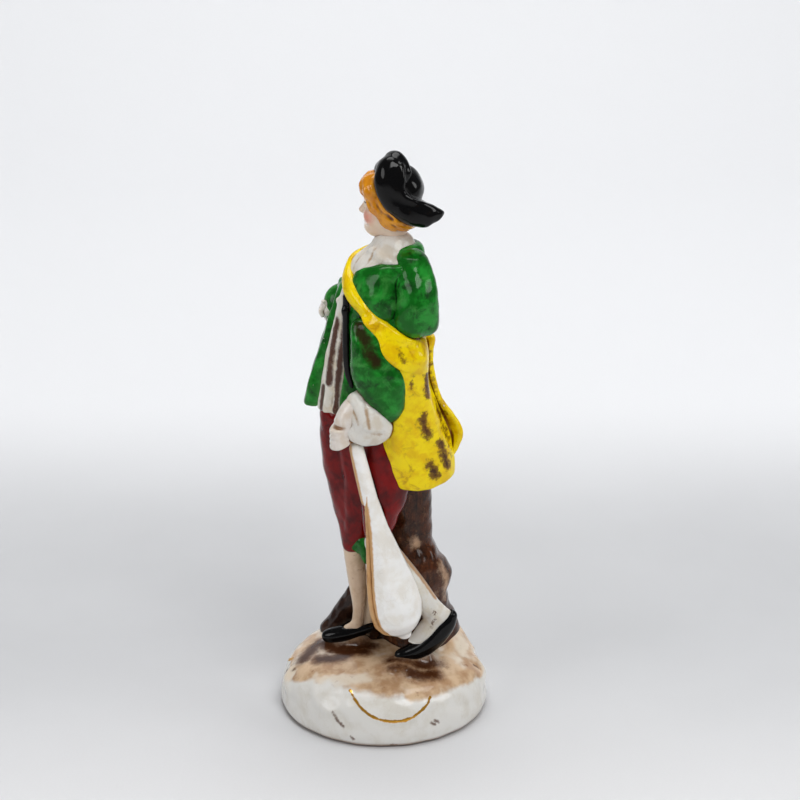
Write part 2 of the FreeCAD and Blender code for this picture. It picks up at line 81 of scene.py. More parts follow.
class Clay:
    """A block of distances to a surface, negative inside, around one CAD node."""

    def __init__(self, node, home, cell=0.3, margin=2.5):
        """home is where the node's centre lies in these drawings; the piece moves with its node."""
        self.node = node
        low, high = node_box(node)
        self.shift = np.round((low + high) / 2 - home)
        self.low = low - margin - self.shift
        high = high + margin - self.shift
        self.cell = cell
        self.counts = np.ceil((high - self.low) / cell).astype(int) + 1
        self.high = self.low + cell * (self.counts - 1)
        self.d = np.full(self.counts, FAR, dtype=np.float32)

    def window(self, low, high, pad):
        """Slices of the block, and the coordinates in them, that cover a box with a pad around it."""
        first = np.floor((np.array(low) - pad - self.low) / self.cell).astype(int)
        last = np.ceil((np.array(high) + pad - self.low) / self.cell).astype(int) + 1
        first = np.clip(first, 0, self.counts)
        last = np.clip(last, 0, self.counts)
        slices = tuple(slice(a, b) for a, b in zip(first, last))
        axes = []
        for axis in range(3):
            shape = [1, 1, 1]
            shape[axis] = -1
            line = self.low[axis] + self.cell * np.arange(first[axis], last[axis])
            axes.append(line.astype(np.float32).reshape(shape))
        return slices, axes

    def path_window(self, path, pad):
        return self.window(path[:, :3].min(0), path[:, :3].max(0), pad)

    def join(self, slices, distance, blend):
        """Adds a shape, melting it in over the blend length."""
        self.d[slices] = soft_min(self.d[slices], distance, blend)

    def cut(self, slices, distance, blend):
        """Takes a shape away, with an edge rounded by the blend length."""
        self.d[slices] = -soft_min(-self.d[slices], distance, blend)

    def roll(self, points, blend=0.6, steps=4, carve=False):
        """Roll of clay along a smooth path of (x, y, z, radius)."""
        path = smooth_path(points, steps)
        slices, axes = self.path_window(path, path[:, 3].max() + blend + ROOM)
        (self.cut if carve else self.join)(slices, path_distance(axes, path), blend)

    def strap(self, points, facing, thin, blend=0.4, steps=4):
        """Flat roll along (x, y, z, half width); facing is across its thickness, thin its half thickness."""
        path = smooth_path(points, steps)
        slices, axes = self.path_window(path, path[:, 3].max() + blend + ROOM)
        self.join(slices, strap_distance(axes, path, unit(facing), thin), blend)

    def ball(self, centre, radii, turn=(0, 0, 0), blend=0.6, carve=False):
        """Ellipsoid, turned by degrees about X, Y and Z."""
        reach = max(radii)
        centre = np.array(centre, dtype=float)
        slices, axes = self.window(centre - reach, centre + reach, blend + ROOM)
        distance = ball_distance(axes, centre, radii, turn)
        (self.cut if carve else self.join)(slices, distance, blend)

    def trim(self, point, outward, blend=0.3):
        """Cuts off everything on the outward side of a plane."""
        _, (x, y, z) = self.window(self.low, self.high, 0)
        nx, ny, nz = unit(outward)
        distance = (x - point[0]) * nx + (y - point[1]) * ny + (z - point[2]) * nz
        self.d = -soft_min(-self.d, -distance.astype(np.float32), blend)

    def groove(self, points, depth, width, steps=5):
        """Soft groove along (x, y, z) or (x, y, z, strength); a negative depth raises a ridge."""
        path = smooth_path(points, steps)
        if path.shape[1] == 3:
            path = np.column_stack([path, np.ones(len(path))])
        slices, axes = self.path_window(path, width * FADE)
        distance, strength = path_nearest(axes, path)
        self.d[slices] += depth * strength * np.exp(-((distance / width) ** 2))

    def press_on(self, names, thickness, blend=1.5):
        """Adds an even layer over pieces already made."""
        _, axes = self.window(self.low, self.high, self.cell)
        places = np.stack(np.meshgrid(*[axis.ravel() for axis in axes], indexing="ij"), -1).reshape(-1, 3)
        for name in names:
            other = PIECES[name][1]
            inside = (places + self.shift - other.low - other.shift) / other.cell
            layer = sample(other.d, inside).reshape(self.d.shape).astype(np.float32)
            self.d = soft_min(self.d, layer - thickness, blend)

    def keep_bands(self, bands, reach, blend=0.5, steps=8):
        """Keeps only what lies in flat bands, each along (x, y, z, half width) and seen along its facing."""
        _, axes = self.window(self.low, self.high, self.cell)
        kept = [strap_distance(axes, smooth_path(points, steps), unit(facing), reach, rounded=False)
                for points, facing in bands]
        self.d = -soft_min(-self.d, -np.min(kept, axis=0), blend)

    def ripple(self, height, scale, seed):
        """Gentle unevenness all over, as from a hand-finished mould."""
        _, axes = self.window(self.low, self.high, self.cell)
        self.d += height * waves(axes, scale, seed)


def unit(vector):
    vector = np.array(vector, dtype=float)
    return vector / np.linalg.norm(vector)


def soft_min(a, b, blend):
    """Smaller of two distances, rounded where they meet."""
    if blend <= 0:
        return np.minimum(a, b)
    near = np.maximum(blend - np.abs(a - b), 0.0) / blend
    return (np.minimum(a, b) - near * near * blend * 0.25).astype(np.float32)


def smooth_path(points, steps):
    """Catmull-Rom curve through rows of numbers, with steps pieces in each span."""
    rows = np.array(points, dtype=float)
    if len(rows) < 3 or steps < 2:
        return rows
    ends = np.vstack([2 * rows[0] - rows[1], rows, 2 * rows[-1] - rows[-2]])
    path = []
    for index in range(1, len(ends) - 2):
        before, start, end, after = ends[index - 1:index + 3]
        for step in range(steps):
            t = step / steps
            straight = 2 * start + (end - before) * t
            bend = (2 * before - 5 * start + 4 * end - after) * t * t
            swing = (3 * start - before - 3 * end + after) * t ** 3
            path.append(0.5 * (straight + bend + swing))
    path.append(rows[-1])
    return np.array(path)


def runs_of(axes, path):
    """Each straight run of a path: its ends, how far along it places lie, and how far beside it."""
    x, y, z = axes
    for start, end in zip(path[:-1], path[1:]):
        run = end[:3] - start[:3]
        length2 = max(float(run @ run), 1e-9)
        along = (x - start[0]) * run[0] + (y - start[1]) * run[1] + (z - start[2]) * run[2]
        along = np.clip(along / length2, 0, 1).astype(np.float32)
        beside = (x - start[0] - along * run[0], y - start[1] - along * run[1], z - start[2] - along * run[2])
        yield start, end, along, beside


def lower(best, distance):
    return distance if best is None else np.minimum(best, distance)


def path_distance(axes, path):
    """Distance to a chain of round cones."""
    best = None
    for start, end, along, (dx, dy, dz) in runs_of(axes, path):
        radius = start[3] + along * (end[3] - start[3])
        best = lower(best, np.sqrt(dx * dx + dy * dy + dz * dz) - radius)
    return best.astype(np.float32)


def path_nearest(axes, path):
    """Distance to a chain of straight runs, and the fourth number of the path at the nearest point."""
    best = None
    for start, end, along, (dx, dy, dz) in runs_of(axes, path):
        distance = np.sqrt(dx * dx + dy * dy + dz * dz)
        value = start[3] + along * (end[3] - start[3])
        chosen = value if best is None else np.where(distance < best, value, chosen)
        best = lower(best, distance)
    return best, chosen


def strap_distance(axes, path, facing, thin, rounded=True):
    """Distance, about, to a flat roll whose thickness runs along facing."""
    best = None
    for start, end, along, (dx, dy, dz) in runs_of(axes, path):
        through = dx * facing[0] + dy * facing[1] + dz * facing[2]
        rest = np.maximum(dx * dx + dy * dy + dz * dz - through * through, 0)
        width = start[3] + along * (end[3] - start[3])
        if rounded:
            distance = (np.sqrt(rest / (width * width) + through * through / (thin * thin)) - 1.0) * thin
        else:
            distance = np.maximum(np.sqrt(rest) - width, np.abs(through) - thin)
        best = lower(best, distance)
    return best.astype(np.float32)


def ball_distance(axes, centre, radii, turn):
    """Distance, about, to a turned ellipsoid."""
    x, y, z = axes
    matrix = np.array(Euler([math.radians(a) for a in turn]).to_matrix())
    local = []
    for axis in range(3):
        nx, ny, nz = matrix[:, axis]
        local.append((x - centre[0]) * nx + (y - centre[1]) * ny + (z - centre[2]) * nz)
    first = np.sqrt(sum((value / size) ** 2 for value, size in zip(local, radii)))
    second = np.sqrt(sum((value / size ** 2) ** 2 for value, size in zip(local, radii)))
    return (first * (first - 1.0) / np.maximum(second, 1e-6)).astype(np.float32)


def waves(axes, scale, seed):
    """Smooth unevenness between about -1 and 1, the same on every run."""
    x, y, z = axes
    chance = np.random.default_rng(seed)
    total, count, loudest = 0, 5, 3.2
    for _ in range(count):
        direction = unit(chance.normal(size=3)) * (2 * math.pi / scale) * chance.uniform(0.6, 1.5)
        phase = chance.uniform(0, 2 * math.pi)
        total = total + np.sin(x * direction[0] + y * direction[1] + z * direction[2] + phase)
    return (total / loudest).astype(np.float32)


def column_distance(axes, path, turn, folds):
    """Distance, about, to an upright body of level ovals with rounded ends."""
    x, y, z = axes
    heights = path[:, 2]
    centre_x, centre_y, half_x, half_y = (np.interp(z, heights, path[:, i]) for i in (0, 1, 3, 4))
    angle = math.radians(turn)
    u = (x - centre_x) * math.cos(angle) + (y - centre_y) * math.sin(angle)
    v = (y - centre_y) * math.cos(angle) - (x - centre_x) * math.sin(angle)
    first = np.sqrt((u / half_x) ** 2 + (v / half_y) ** 2)
    second = np.sqrt((u / half_x ** 2) ** 2 + (v / half_y ** 2) ** 2)
    side = first * (first - 1.0) / np.maximum(second, 1e-4)
    if folds is not None:
        side = side - folds(np.arctan2(u, -v), z)
    ends = np.maximum(heights[0] - z, z - heights[-1])
    return -soft_min(-side, -ends + 0 * side, 2.0)


def curtain_distance(axes, levels, thickness, bends):
    """Distance, about, to an upright sheet whose plan line changes with height."""
    x, y, z = axes
    heights = np.array([level[0] for level in levels], dtype=float)
    plans = np.array([smooth_path(level[1], bends) for level in levels])
    order = np.argsort(heights)
    fine = smooth_path(np.column_stack([heights[order], np.arange(len(order))]), 6)
    flat = smooth_path(plans[order].reshape(len(order), -1), 6)
    best = None
    count = plans.shape[1]
    lines = [np.interp(z, fine[:, 0], flat[:, i]) for i in range(count * 2)]
    for index in range(count - 1):
        ax, ay, bx, by = lines[2 * index:2 * index + 4]
        rx, ry = bx - ax, by - ay
        along = np.clip(((x - ax) * rx + (y - ay) * ry) / np.maximum(rx * rx + ry * ry, 1e-6), 0, 1)
        distance = np.hypot(x - ax - along * rx, y - ay - along * ry)
        best = lower(best, distance)
    side = best - thickness
    ends = np.maximum(heights.min() - z, z - heights.max())
    return -soft_min(-side, -ends + 0 * side, thickness)


def lathe_distance(axes, profile):
    """Distance to a body turned about +Z, from its closed profile of (radius, height)."""
    x, y, z = axes
    radius = np.hypot(x, y)
    best = None
    inside = np.zeros(np.broadcast_shapes(radius.shape, z.shape), dtype=bool)
    corners = np.array(profile, dtype=float)
    for start, end in zip(corners, np.roll(corners, -1, axis=0)):
        run = end - start
        along = ((radius - start[0]) * run[0] + (z - start[1]) * run[1]) / max(float(run @ run), 1e-9)
        along = np.clip(along, 0, 1)
        distance = np.hypot(radius - start[0] - along * run[0], z - start[1] - along * run[1])
        best = lower(best, distance)
        crosses = (start[1] > z) != (end[1] > z)
        if start[1] != end[1]:
            edge = start[0] + (z - start[1]) * run[0] / run[1]
            inside ^= crosses & (radius < edge)
    return np.where(inside, -best, best).astype(np.float32)


def column(clay, stations, turn=0.0, folds=None, blend=0.6):
    """Upright body through level ovals (x, y, z, half x, half y), from the bottom up."""
    path = smooth_path(stations, 6)
    reach = path[:, 3:5].max() + 1.5
    low = path[:, :3].min(0) - (reach, reach, 0)
    high = path[:, :3].max(0) + (reach, reach, 0)
    slices, axes = clay.window(low, high, blend + 0.8)
    clay.join(slices, column_distance(axes, path, turn, folds), blend)


def curtain(clay, levels, thickness, blend=0.5, bends=5):
    """Upright sheet; levels are (height, [(x, y), ...]) with the same number of plan points in each."""
    plan = np.array([point for level in levels for point in level[1]])
    heights = [level[0] for level in levels]
    low = (plan[:, 0].min(), plan[:, 1].min(), min(heights))
    high = (plan[:, 0].max(), plan[:, 1].max(), max(heights))
    slices, axes = clay.window(low, high, thickness + blend + 1.5)
    clay.join(slices, curtain_distance(axes, levels, thickness, bends).astype(np.float32), blend)


def largest_shell(points, quads):
    """Keeps the biggest connected surface, so that no crumbs are left beside a piece."""
    label = np.arange(len(points))
    edges = np.vstack([quads[:, [0, 1]], quads[:, [1, 2]], quads[:, [2, 3]]]).astype(np.int64)
    while True:
        lowest = np.minimum(label[edges[:, 0]], label[edges[:, 1]])
        before = label.copy()
        np.minimum.at(label, edges[:, 0], lowest)
        np.minimum.at(label, edges[:, 1], lowest)
        label = label[label]
        if np.array_equal(label, before):
            break
    names, sizes = np.unique(label, return_counts=True)
    keep = label == names[sizes.argmax()]
    places = np.cumsum(keep) - 1
    kept_quads = quads[keep[quads[:, 0]]]
    return points[keep], places[kept_quads]


PIECES = {}


def fire(clay, material, melt=1):
    """Turns clay into a closed mesh that rides on the body and stands for its CAD node.

    The glaze fills sharp creases and rounds edges; melt is how many cells wide that softening reaches.
    """
    name = clay.node
    clay.d = soft_box(np.clip(clay.d, -NEAR, NEAR), melt)
    clay.d[0], clay.d[-1], clay.d[:, 0], clay.d[:, -1], clay.d[:, :, 0], clay.d[:, :, -1] = [FAR] * 6
    grid = openvdb.FloatGrid(FAR)
    grid.copyFromArray(np.ascontiguousarray(clay.d, dtype=np.float32))
    points, quads = grid.convertToQuads(0.0)
    points, quads = largest_shell(points, quads)
    points = points * clay.cell + clay.low + clay.shift
    mesh = bpy.data.meshes.new(name)
    mesh.vertices.add(len(points))
    mesh.vertices.foreach_set("co", (points * MM).astype(np.float32).ravel())
    mesh.loops.add(quads.size)
    mesh.loops.foreach_set("vertex_index", quads.astype(np.int32).ravel())
    mesh.polygons.add(len(quads))
    mesh.polygons.foreach_set("loop_start", np.arange(0, quads.size, 4, dtype=np.int32))
    mesh.update(calc_edges=True)
    mesh.polygons.foreach_set("use_smooth", np.ones(len(quads), dtype=bool))
    mesh.materials.append(material)
    piece = bpy.data.objects.new(name, mesh)
    bpy.context.scene.collection.objects.link(piece)
    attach(piece, BODY)
    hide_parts(name)
    PIECES[name] = (piece, clay)
    return piece


def mesh_points(piece):
    """Vertex positions in millimetres and normals of a piece."""
    mesh = piece.data
    points = np.empty(len(mesh.vertices) * 3, dtype=np.float32)
    normals = np.empty(len(mesh.vertices) * 3, dtype=np.float32)
    mesh.vertices.foreach_get("co", points)
    mesh.vertex_normals.foreach_get("vector", normals)
    return points.reshape(-1, 3) / MM, normals.reshape(-1, 3)


def paint_map(piece, name, values):
    """Stores a number for every vertex, for a material to read."""
    attribute = piece.data.attributes.new(name, "FLOAT", "POINT")
    attribute.data.foreach_set("value", np.asarray(values, dtype=np.float32))


def paint_lines(piece, name, lines, lift=0.0):
    """Stores each vertex's distance to the nearest of some lines; a lift makes the mark fainter."""
    points, _ = mesh_points(piece)
    paint_map(piece, name, nearest_line(points, lines) + lift)


def nearest_line(points, lines):
    return np.min([line_distance(points, line) for line in lines], axis=0)


def line_distance(points, path, steps=8):
    """Distance from each point to a smooth line through the path."""
    line = smooth_path(path, steps)[:, :3]
    best = np.full(len(points), 1e6)
    for start, end in zip(line[:-1], line[1:]):
        run = end - start
        along = np.clip((points - start) @ run / max(float(run @ run), 1e-9), 0, 1)
        best = np.minimum(best, np.linalg.norm(points - start - along[:, None] * run, axis=1))
    return best


def soft_box(values, steps):
    """Running mean over a cube of cells, twice, to blur a block."""
    for _ in range(2):
        for axis in range(3):
            padded = np.concatenate([
                np.repeat(np.take(values, [0], axis), steps + 1, axis),
                values,
                np.repeat(np.take(values, [-1], axis), steps, axis),
            ], axis)
            total = np.cumsum(padded, axis, dtype=np.float64)
            length = values.shape[axis]
            upper = np.take(total, range(2 * steps + 1, 2 * steps + 1 + length), axis)
            lower = np.take(total, range(0, length), axis)
            values = ((upper - lower) / (2 * steps + 1)).astype(np.float32)
    return values


def map_crevices(cell=0.5):
    """Paints on each piece how deep every point lies between its surroundings, near and wide."""
    border = 4
    low = np.array(cad_box[0]) / MM - border
    counts = np.ceil((np.array(cad_box[1]) / MM + border - low) / cell).astype(int)
    solid = np.zeros(counts, dtype=np.float32)
    for _, clay in PIECES.values():
        corner = clay.low + clay.shift
        index = [np.rint((low[a] + cell * np.arange(counts[a]) - corner[a]) / clay.cell) for a in range(3)]
        use = [(line >= 0) & (line < clay.counts[a]) for a, line in enumerate(index)]
        rows = [line[ok].astype(int) for line, ok in zip(index, use)]
        spans = tuple(slice(int(ok.argmax()), int(ok.argmax()) + int(ok.sum())) for ok in use)
        inside = clay.d[np.ix_(*rows)] < 0
        solid[spans] = np.maximum(solid[spans], inside)
    for name, steps in (("crevice", 1), ("shelter", 4)):
        blurred = soft_box(solid, steps)
        for piece, clay in PIECES.values():
            points, normals = mesh_points(piece)
            outwards = cell * (0.6 + 0.5 * steps)
            place = (points + normals * outwards - low) / cell
            paint_map(piece, name, sample(blurred, place))


def map_bulges(steps=3, reach=1.5):
    """Paints on each piece how far it stands proud of, or lies below, the surface around it."""
    for piece, clay in PIECES.values():
        points, _ = mesh_points(piece)
        near = np.clip(clay.d, -reach, reach)
        place = (points - clay.low - clay.shift) / clay.cell
        paint_map(piece, "bulge", sample(soft_box(near, steps), place))


def sample(block, place):
    """Values of a block at fractional places."""
    top = np.array(block.shape) - 2
    first = np.clip(np.floor(place).astype(int), 0, top)
    part = np.clip(place - first, 0, 1)
    total = 0
    for corner in np.ndindex(2, 2, 2):
        weight = np.prod(np.where(corner, part, 1 - part), axis=1)
        at = first + corner
        total = total + weight * block[at[:, 0], at[:, 1], at[:, 2]]
    return total


# ---------------------------------------------------------------- materials


COLOUR_A, COLOUR_B, COLOUR_OUT = 6, 7, 2        # colour sockets of a Mix node


def linear(colour):
    """sRGB numbers 0 to 255 as linear light."""
    parts = [value / 255 for value in colour]
    return tuple([p / 12.92 if p <= 0.04045 else ((p + 0.055) / 1.055) ** 2.4 for p in parts] + [1.0])


class Brush:
    """Builds the nodes of one glaze; places are in metres, in the figure's own frame."""

    def __init__(self, name):
        self.material = bpy.data.materials.new(name)
        self.material.use_nodes = True
        self.tree = self.material.node_tree
        self.tree.nodes.clear()
        self.shader = self.node("BsdfPrincipled")
        self.node("OutputMaterial", {"Surface": self.shader.outputs["BSDF"]})
        self.place = self.node("TexCoord").outputs["Object"]

    def node(self, kind, inputs=None):
        """New node with some of its inputs, by name or number, set or linked."""
        node = self.tree.nodes.new("ShaderNode" + kind)
        self.feed_all(node, inputs or {})
        return node

    def feed_all(self, node, inputs):
        for name, value in inputs.items():
            self.feed(node.inputs[name], value)

    def feed(self, socket, value):
        """Links a socket to another node, or sets it to a plain value."""
        if hasattr(value, "is_output"):
            self.tree.links.new(value, socket)
        else:
            socket.default_value = value

    def painted(self, name):
        """Number stored on the vertices."""
        node = self.node("Attribute")
        node.attribute_name = name
        return node.outputs["Fac"]

    def noise(self, size, detail=3.0, roughness=0.55, warp=0.0, streak=1.0):
        """Cloudy noise whose lumps are about size millimetres across, and streak times as tall."""
        stretched = self.node("Mapping", {"Scale": (1, 1, 1 / streak), "Vector": self.place})
        return self.node("TexNoise", {
            "Vector": stretched.outputs["Vector"], "Scale": 1 / (size * MM),
            "Detail": detail, "Roughness": roughness, "Distortion": warp,
        }).outputs["Fac"]

    def cracks(self, size):
        """Distance from the shaken edges of cells about size millimetres across."""
        scale, sway = 1 / (size * MM), size * MM * 0.7
        cloud = self.node("TexNoise", {"Vector": self.place, "Scale": scale})
        spread = self.node("VectorMath", {0: cloud.outputs["Color"]})
        spread.operation = "SCALE"
        spread.inputs["Scale"].default_value = sway
        shaken = self.node("VectorMath", {0: self.place, 1: spread.outputs["Vector"]})
        shaken.operation = "ADD"
        cells = self.node("TexVoronoi", {"Vector": shaken.outputs["Vector"], "Scale": scale})
        cells.feature = "DISTANCE_TO_EDGE"
        return cells.outputs["Distance"]

    def between(self, value, low, high, start=0.0, end=1.0):
        """Smooth step of a value from low to high."""
        node = self.node("MapRange", {
            "Value": value, "From Min": low, "From Max": high, "To Min": start, "To Max": end,
        })
        node.interpolation_type = "SMOOTHSTEP"
        return node.outputs["Result"]

    def reckon(self, operation, first, second):
        node = self.node("Math", {0: first, 1: second})
        node.operation = operation
        return node.outputs["Value"]

    def plus(self, first, second):
        return self.reckon("ADD", first, second)

    def minus(self, first, second):
        return self.reckon("SUBTRACT", first, second)

    def times(self, first, second):
        return self.reckon("MULTIPLY", first, second)

    def mix(self, amount, first, second):
        """Colour between the first and the second, which are sRGB 0 to 255 or come from a node."""
        node = self.node("Mix", {"Factor": amount})
        node.data_type = "RGBA"
        for index, colour in ((COLOUR_A, first), (COLOUR_B, second)):
            self.feed(node.inputs[index], colour if hasattr(colour, "is_output") else linear(colour))
        return node.outputs[COLOUR_OUT]

    def bump(self, height, strength, distance):
        node = self.node("Bump", {"Strength": strength, "Distance": distance * MM, "Height": height})
        return node.outputs["Normal"]


# The crease darkening of the glazes is painted shade as well as pooled glaze.
WHITE_POOL_SHADE = (0.44, 0.8)        # where a white glaze starts and ends to darken in creases


def start_glaze(name, body, mottled, deep, thin, pool_shade=(0.34, 0.66), ridge_light=(0.36, 0.62), lump=4.0):
    """Glaze colour before stains: clouded; dark in creases and between pieces, for pooled glaze and as
    painted shade; pale on proud places, for thin glaze and as painted light.
    """
    brush = Brush(name)
    clouds = brush.between(brush.noise(lump, 4.0, 0.6, 0.3), 0.42, 0.66)
    colour = brush.mix(clouds, body, mottled)
    grain = brush.noise(0.9, 3.0, 0.7)
    # Painted shade: creases and the gaps between pieces turn to the deep colour, for pooled glaze and for the
    # shade that falls there.
    hollow_shade = brush.plus(brush.painted("crevice"), brush.times(grain, 0.16))
    hollow_shade = brush.minus(hollow_shade, brush.times(brush.painted("bulge"), 1.2))
    colour = brush.mix(brush.between(hollow_shade, pool_shade[0], pool_shade[1]), colour, deep)
    # Painted light: proud places turn to the thin colour, for glaze that runs thin and for the light that
    # falls on them.
    proud = brush.plus(brush.painted("bulge"), brush.times(grain, 0.08))
    colour = brush.mix(brush.between(proud, ridge_light[0], ridge_light[1], 0.0, 0.85), colour, thin)
    return brush, colour


def add_stain(brush, colour, stain, lump, low, high, amount=0.8):
    """Cloudy patches of another colour."""
    patch = brush.between(brush.noise(lump, 5.0, 0.65, 0.6), low, high, 0.0, amount)
    return brush.mix(patch, colour, stain)


def add_painted(brush, colour, name, paint, near, far, lump=1.2, shake=1.2, amount=1.0):
    """Brushed mark around lines stored on the vertices, with a ragged edge."""
    ragged = brush.times(brush.minus(brush.noise(lump, 4.0, 0.7), 0.5), shake * 2)
    mark = brush.between(brush.plus(brush.painted(name), ragged), near, far, amount, 0.0)
    return brush.mix(mark, colour, paint)


def add_crazing(brush, colour, stain, size=2.2, width=0.03, amount=0.5):
    """Fine age cracks that have taken up dirt."""
    line = brush.between(brush.cracks(size), 0.0, width, amount, 0.0)
    some = brush.between(brush.noise(size * 4, 2.0), 0.42, 0.6)
    return brush.mix(brush.times(line, some), colour, stain)


def add_chips(brush, colour, chip=(236, 228, 214), size=1.1, rarity=0.70):
    """Small flakes lost from the proudest places."""
    flake = brush.between(brush.noise(size, 2.0, 0.5), rarity, rarity + 0.03)
    proud = brush.between(brush.painted("bulge"), 0.16, 0.3)
    return brush.mix(brush.times(flake, proud), colour, chip)


def finish_glaze(brush, colour, gloss=0.1, coat=0.1, soft=0.0, unevenness=0.12):
    """Glassy surface with slight orange peel and a little wear in its gloss."""
    wear = brush.between(brush.noise(3.0, 4.0, 0.6), 0.4, 0.75, gloss, gloss + 0.12)
    peel = brush.bump(brush.noise(0.8, 2.0, 0.5), unevenness, 0.12)
    brush.feed_all(brush.shader, {
        "Base Color": colour, "Roughness": wear, "Normal": peel, "IOR": 1.29,
        "Coat Weight": coat, "Coat Roughness": 0.04,
    })
    if soft:
        brush.feed_all(brush.shader, {
            "Subsurface Weight": soft, "Subsurface Radius": (1.0, 0.9, 0.75), "Subsurface Scale": 1.2 * MM,
        })
    return brush.material


def green_glaze():
    brush, colour = start_glaze("green", (12, 96, 20), (36, 140, 46), (8, 34, 12), (86, 172, 78),
                                ridge_light=(0.22, 0.56))
    colour = add_stain(brush, colour, (14, 50, 16), 4.4, 0.50, 0.68, 0.85)
    colour = add_stain(brush, colour, (74, 154, 70), 5.4, 0.52, 0.72, 0.6)
    colour = add_stain(brush, colour, (66, 96, 50), 1.4, 0.60, 0.78, 0.4)
    # Painted shade: dark brown in the crease of the left sleeve, through the blotch map.
    colour = add_painted(brush, colour, "blotch", (44, 24, 12), 0.8, 2.2, lump=2.4, shake=1.4, amount=0.92)
    colour = add_chips(brush, colour, rarity=0.74)
    return finish_glaze(brush, colour, gloss=0.08, coat=0.05)


def yellow_glaze():
    brush, colour = start_glaze("yellow", (248, 220, 6), (232, 190, 4), (112, 62, 8), (250, 230, 50))
    colour = add_stain(brush, colour, (178, 122, 10), 4.4, 0.50, 0.70, 0.75)
    # Brown blotches: mottles on the cape and sash, and painted shade in the hollows of the cape.
    colour = add_painted(brush, colour, "blotch", (98, 56, 18), 0.6, 1.9, lump=1.8, shake=2.6, amount=0.92)
    colour = add_painted(brush, colour, "blotch", (58, 32, 14), -0.2, 0.9, lump=1.4, shake=2.2, amount=0.85)
    colour = add_chips(brush, colour, rarity=0.74)
    return finish_glaze(brush, colour, gloss=0.1, coat=0.05)


def red_glaze():
    brush, colour = start_glaze("red", (122, 3, 4), (88, 2, 4), (32, 1, 3), (158, 44, 38))
    colour = add_stain(brush, colour, (58, 3, 6), 5.0, 0.5, 0.7, 0.7)
    colour = add_chips(brush, colour, chip=(232, 196, 184), rarity=0.73)
    return finish_glaze(brush, colour, gloss=0.08, coat=0.05)


def black_glaze():
    brush, colour = start_glaze("black", (6, 6, 7), (10, 9, 9), (3, 3, 3), (40, 34, 30))
    colour = add_stain(brush, colour, (34, 24, 17), 2.6, 0.62, 0.74, 0.6)
    colour = add_chips(brush, colour, rarity=0.76)
    return finish_glaze(brush, colour, gloss=0.06, coat=0.05)


def white_glaze():
    brush, colour = start_glaze("white", (226, 223, 216), (214, 205, 190), (150, 120, 86), (244, 242, 236),
                                pool_shade=WHITE_POOL_SHADE)
    colour = add_stain(brush, colour, (186, 162, 128), 3.6, 0.60, 0.80, 0.45)
    colour = add_crazing(brush, colour, (150, 122, 92), 1.6, 0.035, 0.18)
    # Beige lines along the folds of cuff and shirt collar: painted shade in the fold grooves.
    colour = add_painted(brush, colour, "blotch", (168, 132, 90), 0.1, 0.7, lump=1.2, shake=0.5, amount=0.8)
    return finish_glaze(brush, colour, gloss=0.08, coat=0.1, soft=0.12)


def skin_glaze():
    brush, colour = start_glaze("skin", (232, 224, 216), (220, 206, 190), (150, 112, 82), (242, 236, 230),
                                pool_shade=(0.26, 0.6))
    return finish_glaze(brush, colour, gloss=0.1, coat=0.6, soft=0.12)


def hair_glaze():
    brush, colour = start_glaze("hair", (230, 154, 24), (208, 128, 14), (104, 56, 12), (232, 182, 80))
    colour = add_stain(brush, colour, (128, 72, 18), 2.4, 0.54, 0.7, 0.7)
    return finish_glaze(brush, colour, gloss=0.1, coat=0.6)


# ---------------------------------------------------------------- mound, trunk and root

MOUND_EDGE = [
    (26.2, 0.1), (26.8, 0.7), (27, 1.8), (26.8, 3.6), (26.3, 6), (25.7, 8.2), (24.8, 10.2), (23.3, 11.9),
    (21.6, 12.9), (18, 14), (14, 14.6), (8, 15.2), (0, 15.4),
]
MOUND_UNDERSIDE = [(0, 1), (23.6, 1), (24, 0.4), (24.4, 0.1)]
BORDER_LINE = [
    (-180, 12.4), (-150, 10.9), (-120, 11.8), (-96, 10.6), (-74, 8.4), (-56, 11.8), (-42, 12.9), (-22, 12.9),
    (-6, 12.4), (12, 12.3), (16, 10.8), (45, 10.9), (63, 10.2), (78, 8.4), (100, 11), (130, 12.3),
    (180, 12.4),
]
GOLD_ARC = [(-23, 12.8), (-16.6, 11.1), (-8, 8.7), (3.3, 7.2), (14.6, 7.6), (24.5, 9.7), (29, 11.2)]
SCROLL = [(-51, 12.2), (-45, 10.2), (-38, 8.4), (-31, 8), (-27, 9.4), (-29, 11.2), (-34, 11.4), (-37, 10.4)]
SMALL_MARKS = [((27, 5.4), (29, 4.8)), ((3.6, 0.9), (6.6, 0.7)), ((31, 5.2), (29, 5.8)),
               ((-18, 2.6), (-16.6, 2.2))]
EDGE_REPEATS = (0, 120, 240)


def on_mound(angle, height, *strength):
    """Point on the mound's flank at a compass angle from +X, with a strength beside it."""
    heights = [z for r, z in MOUND_EDGE]
    radii = [r for r, z in MOUND_EDGE]
    radius = float(np.interp(height, heights, radii))
    turned = math.radians(angle)
    return (radius * math.cos(turned), radius * math.sin(turned), height) + strength


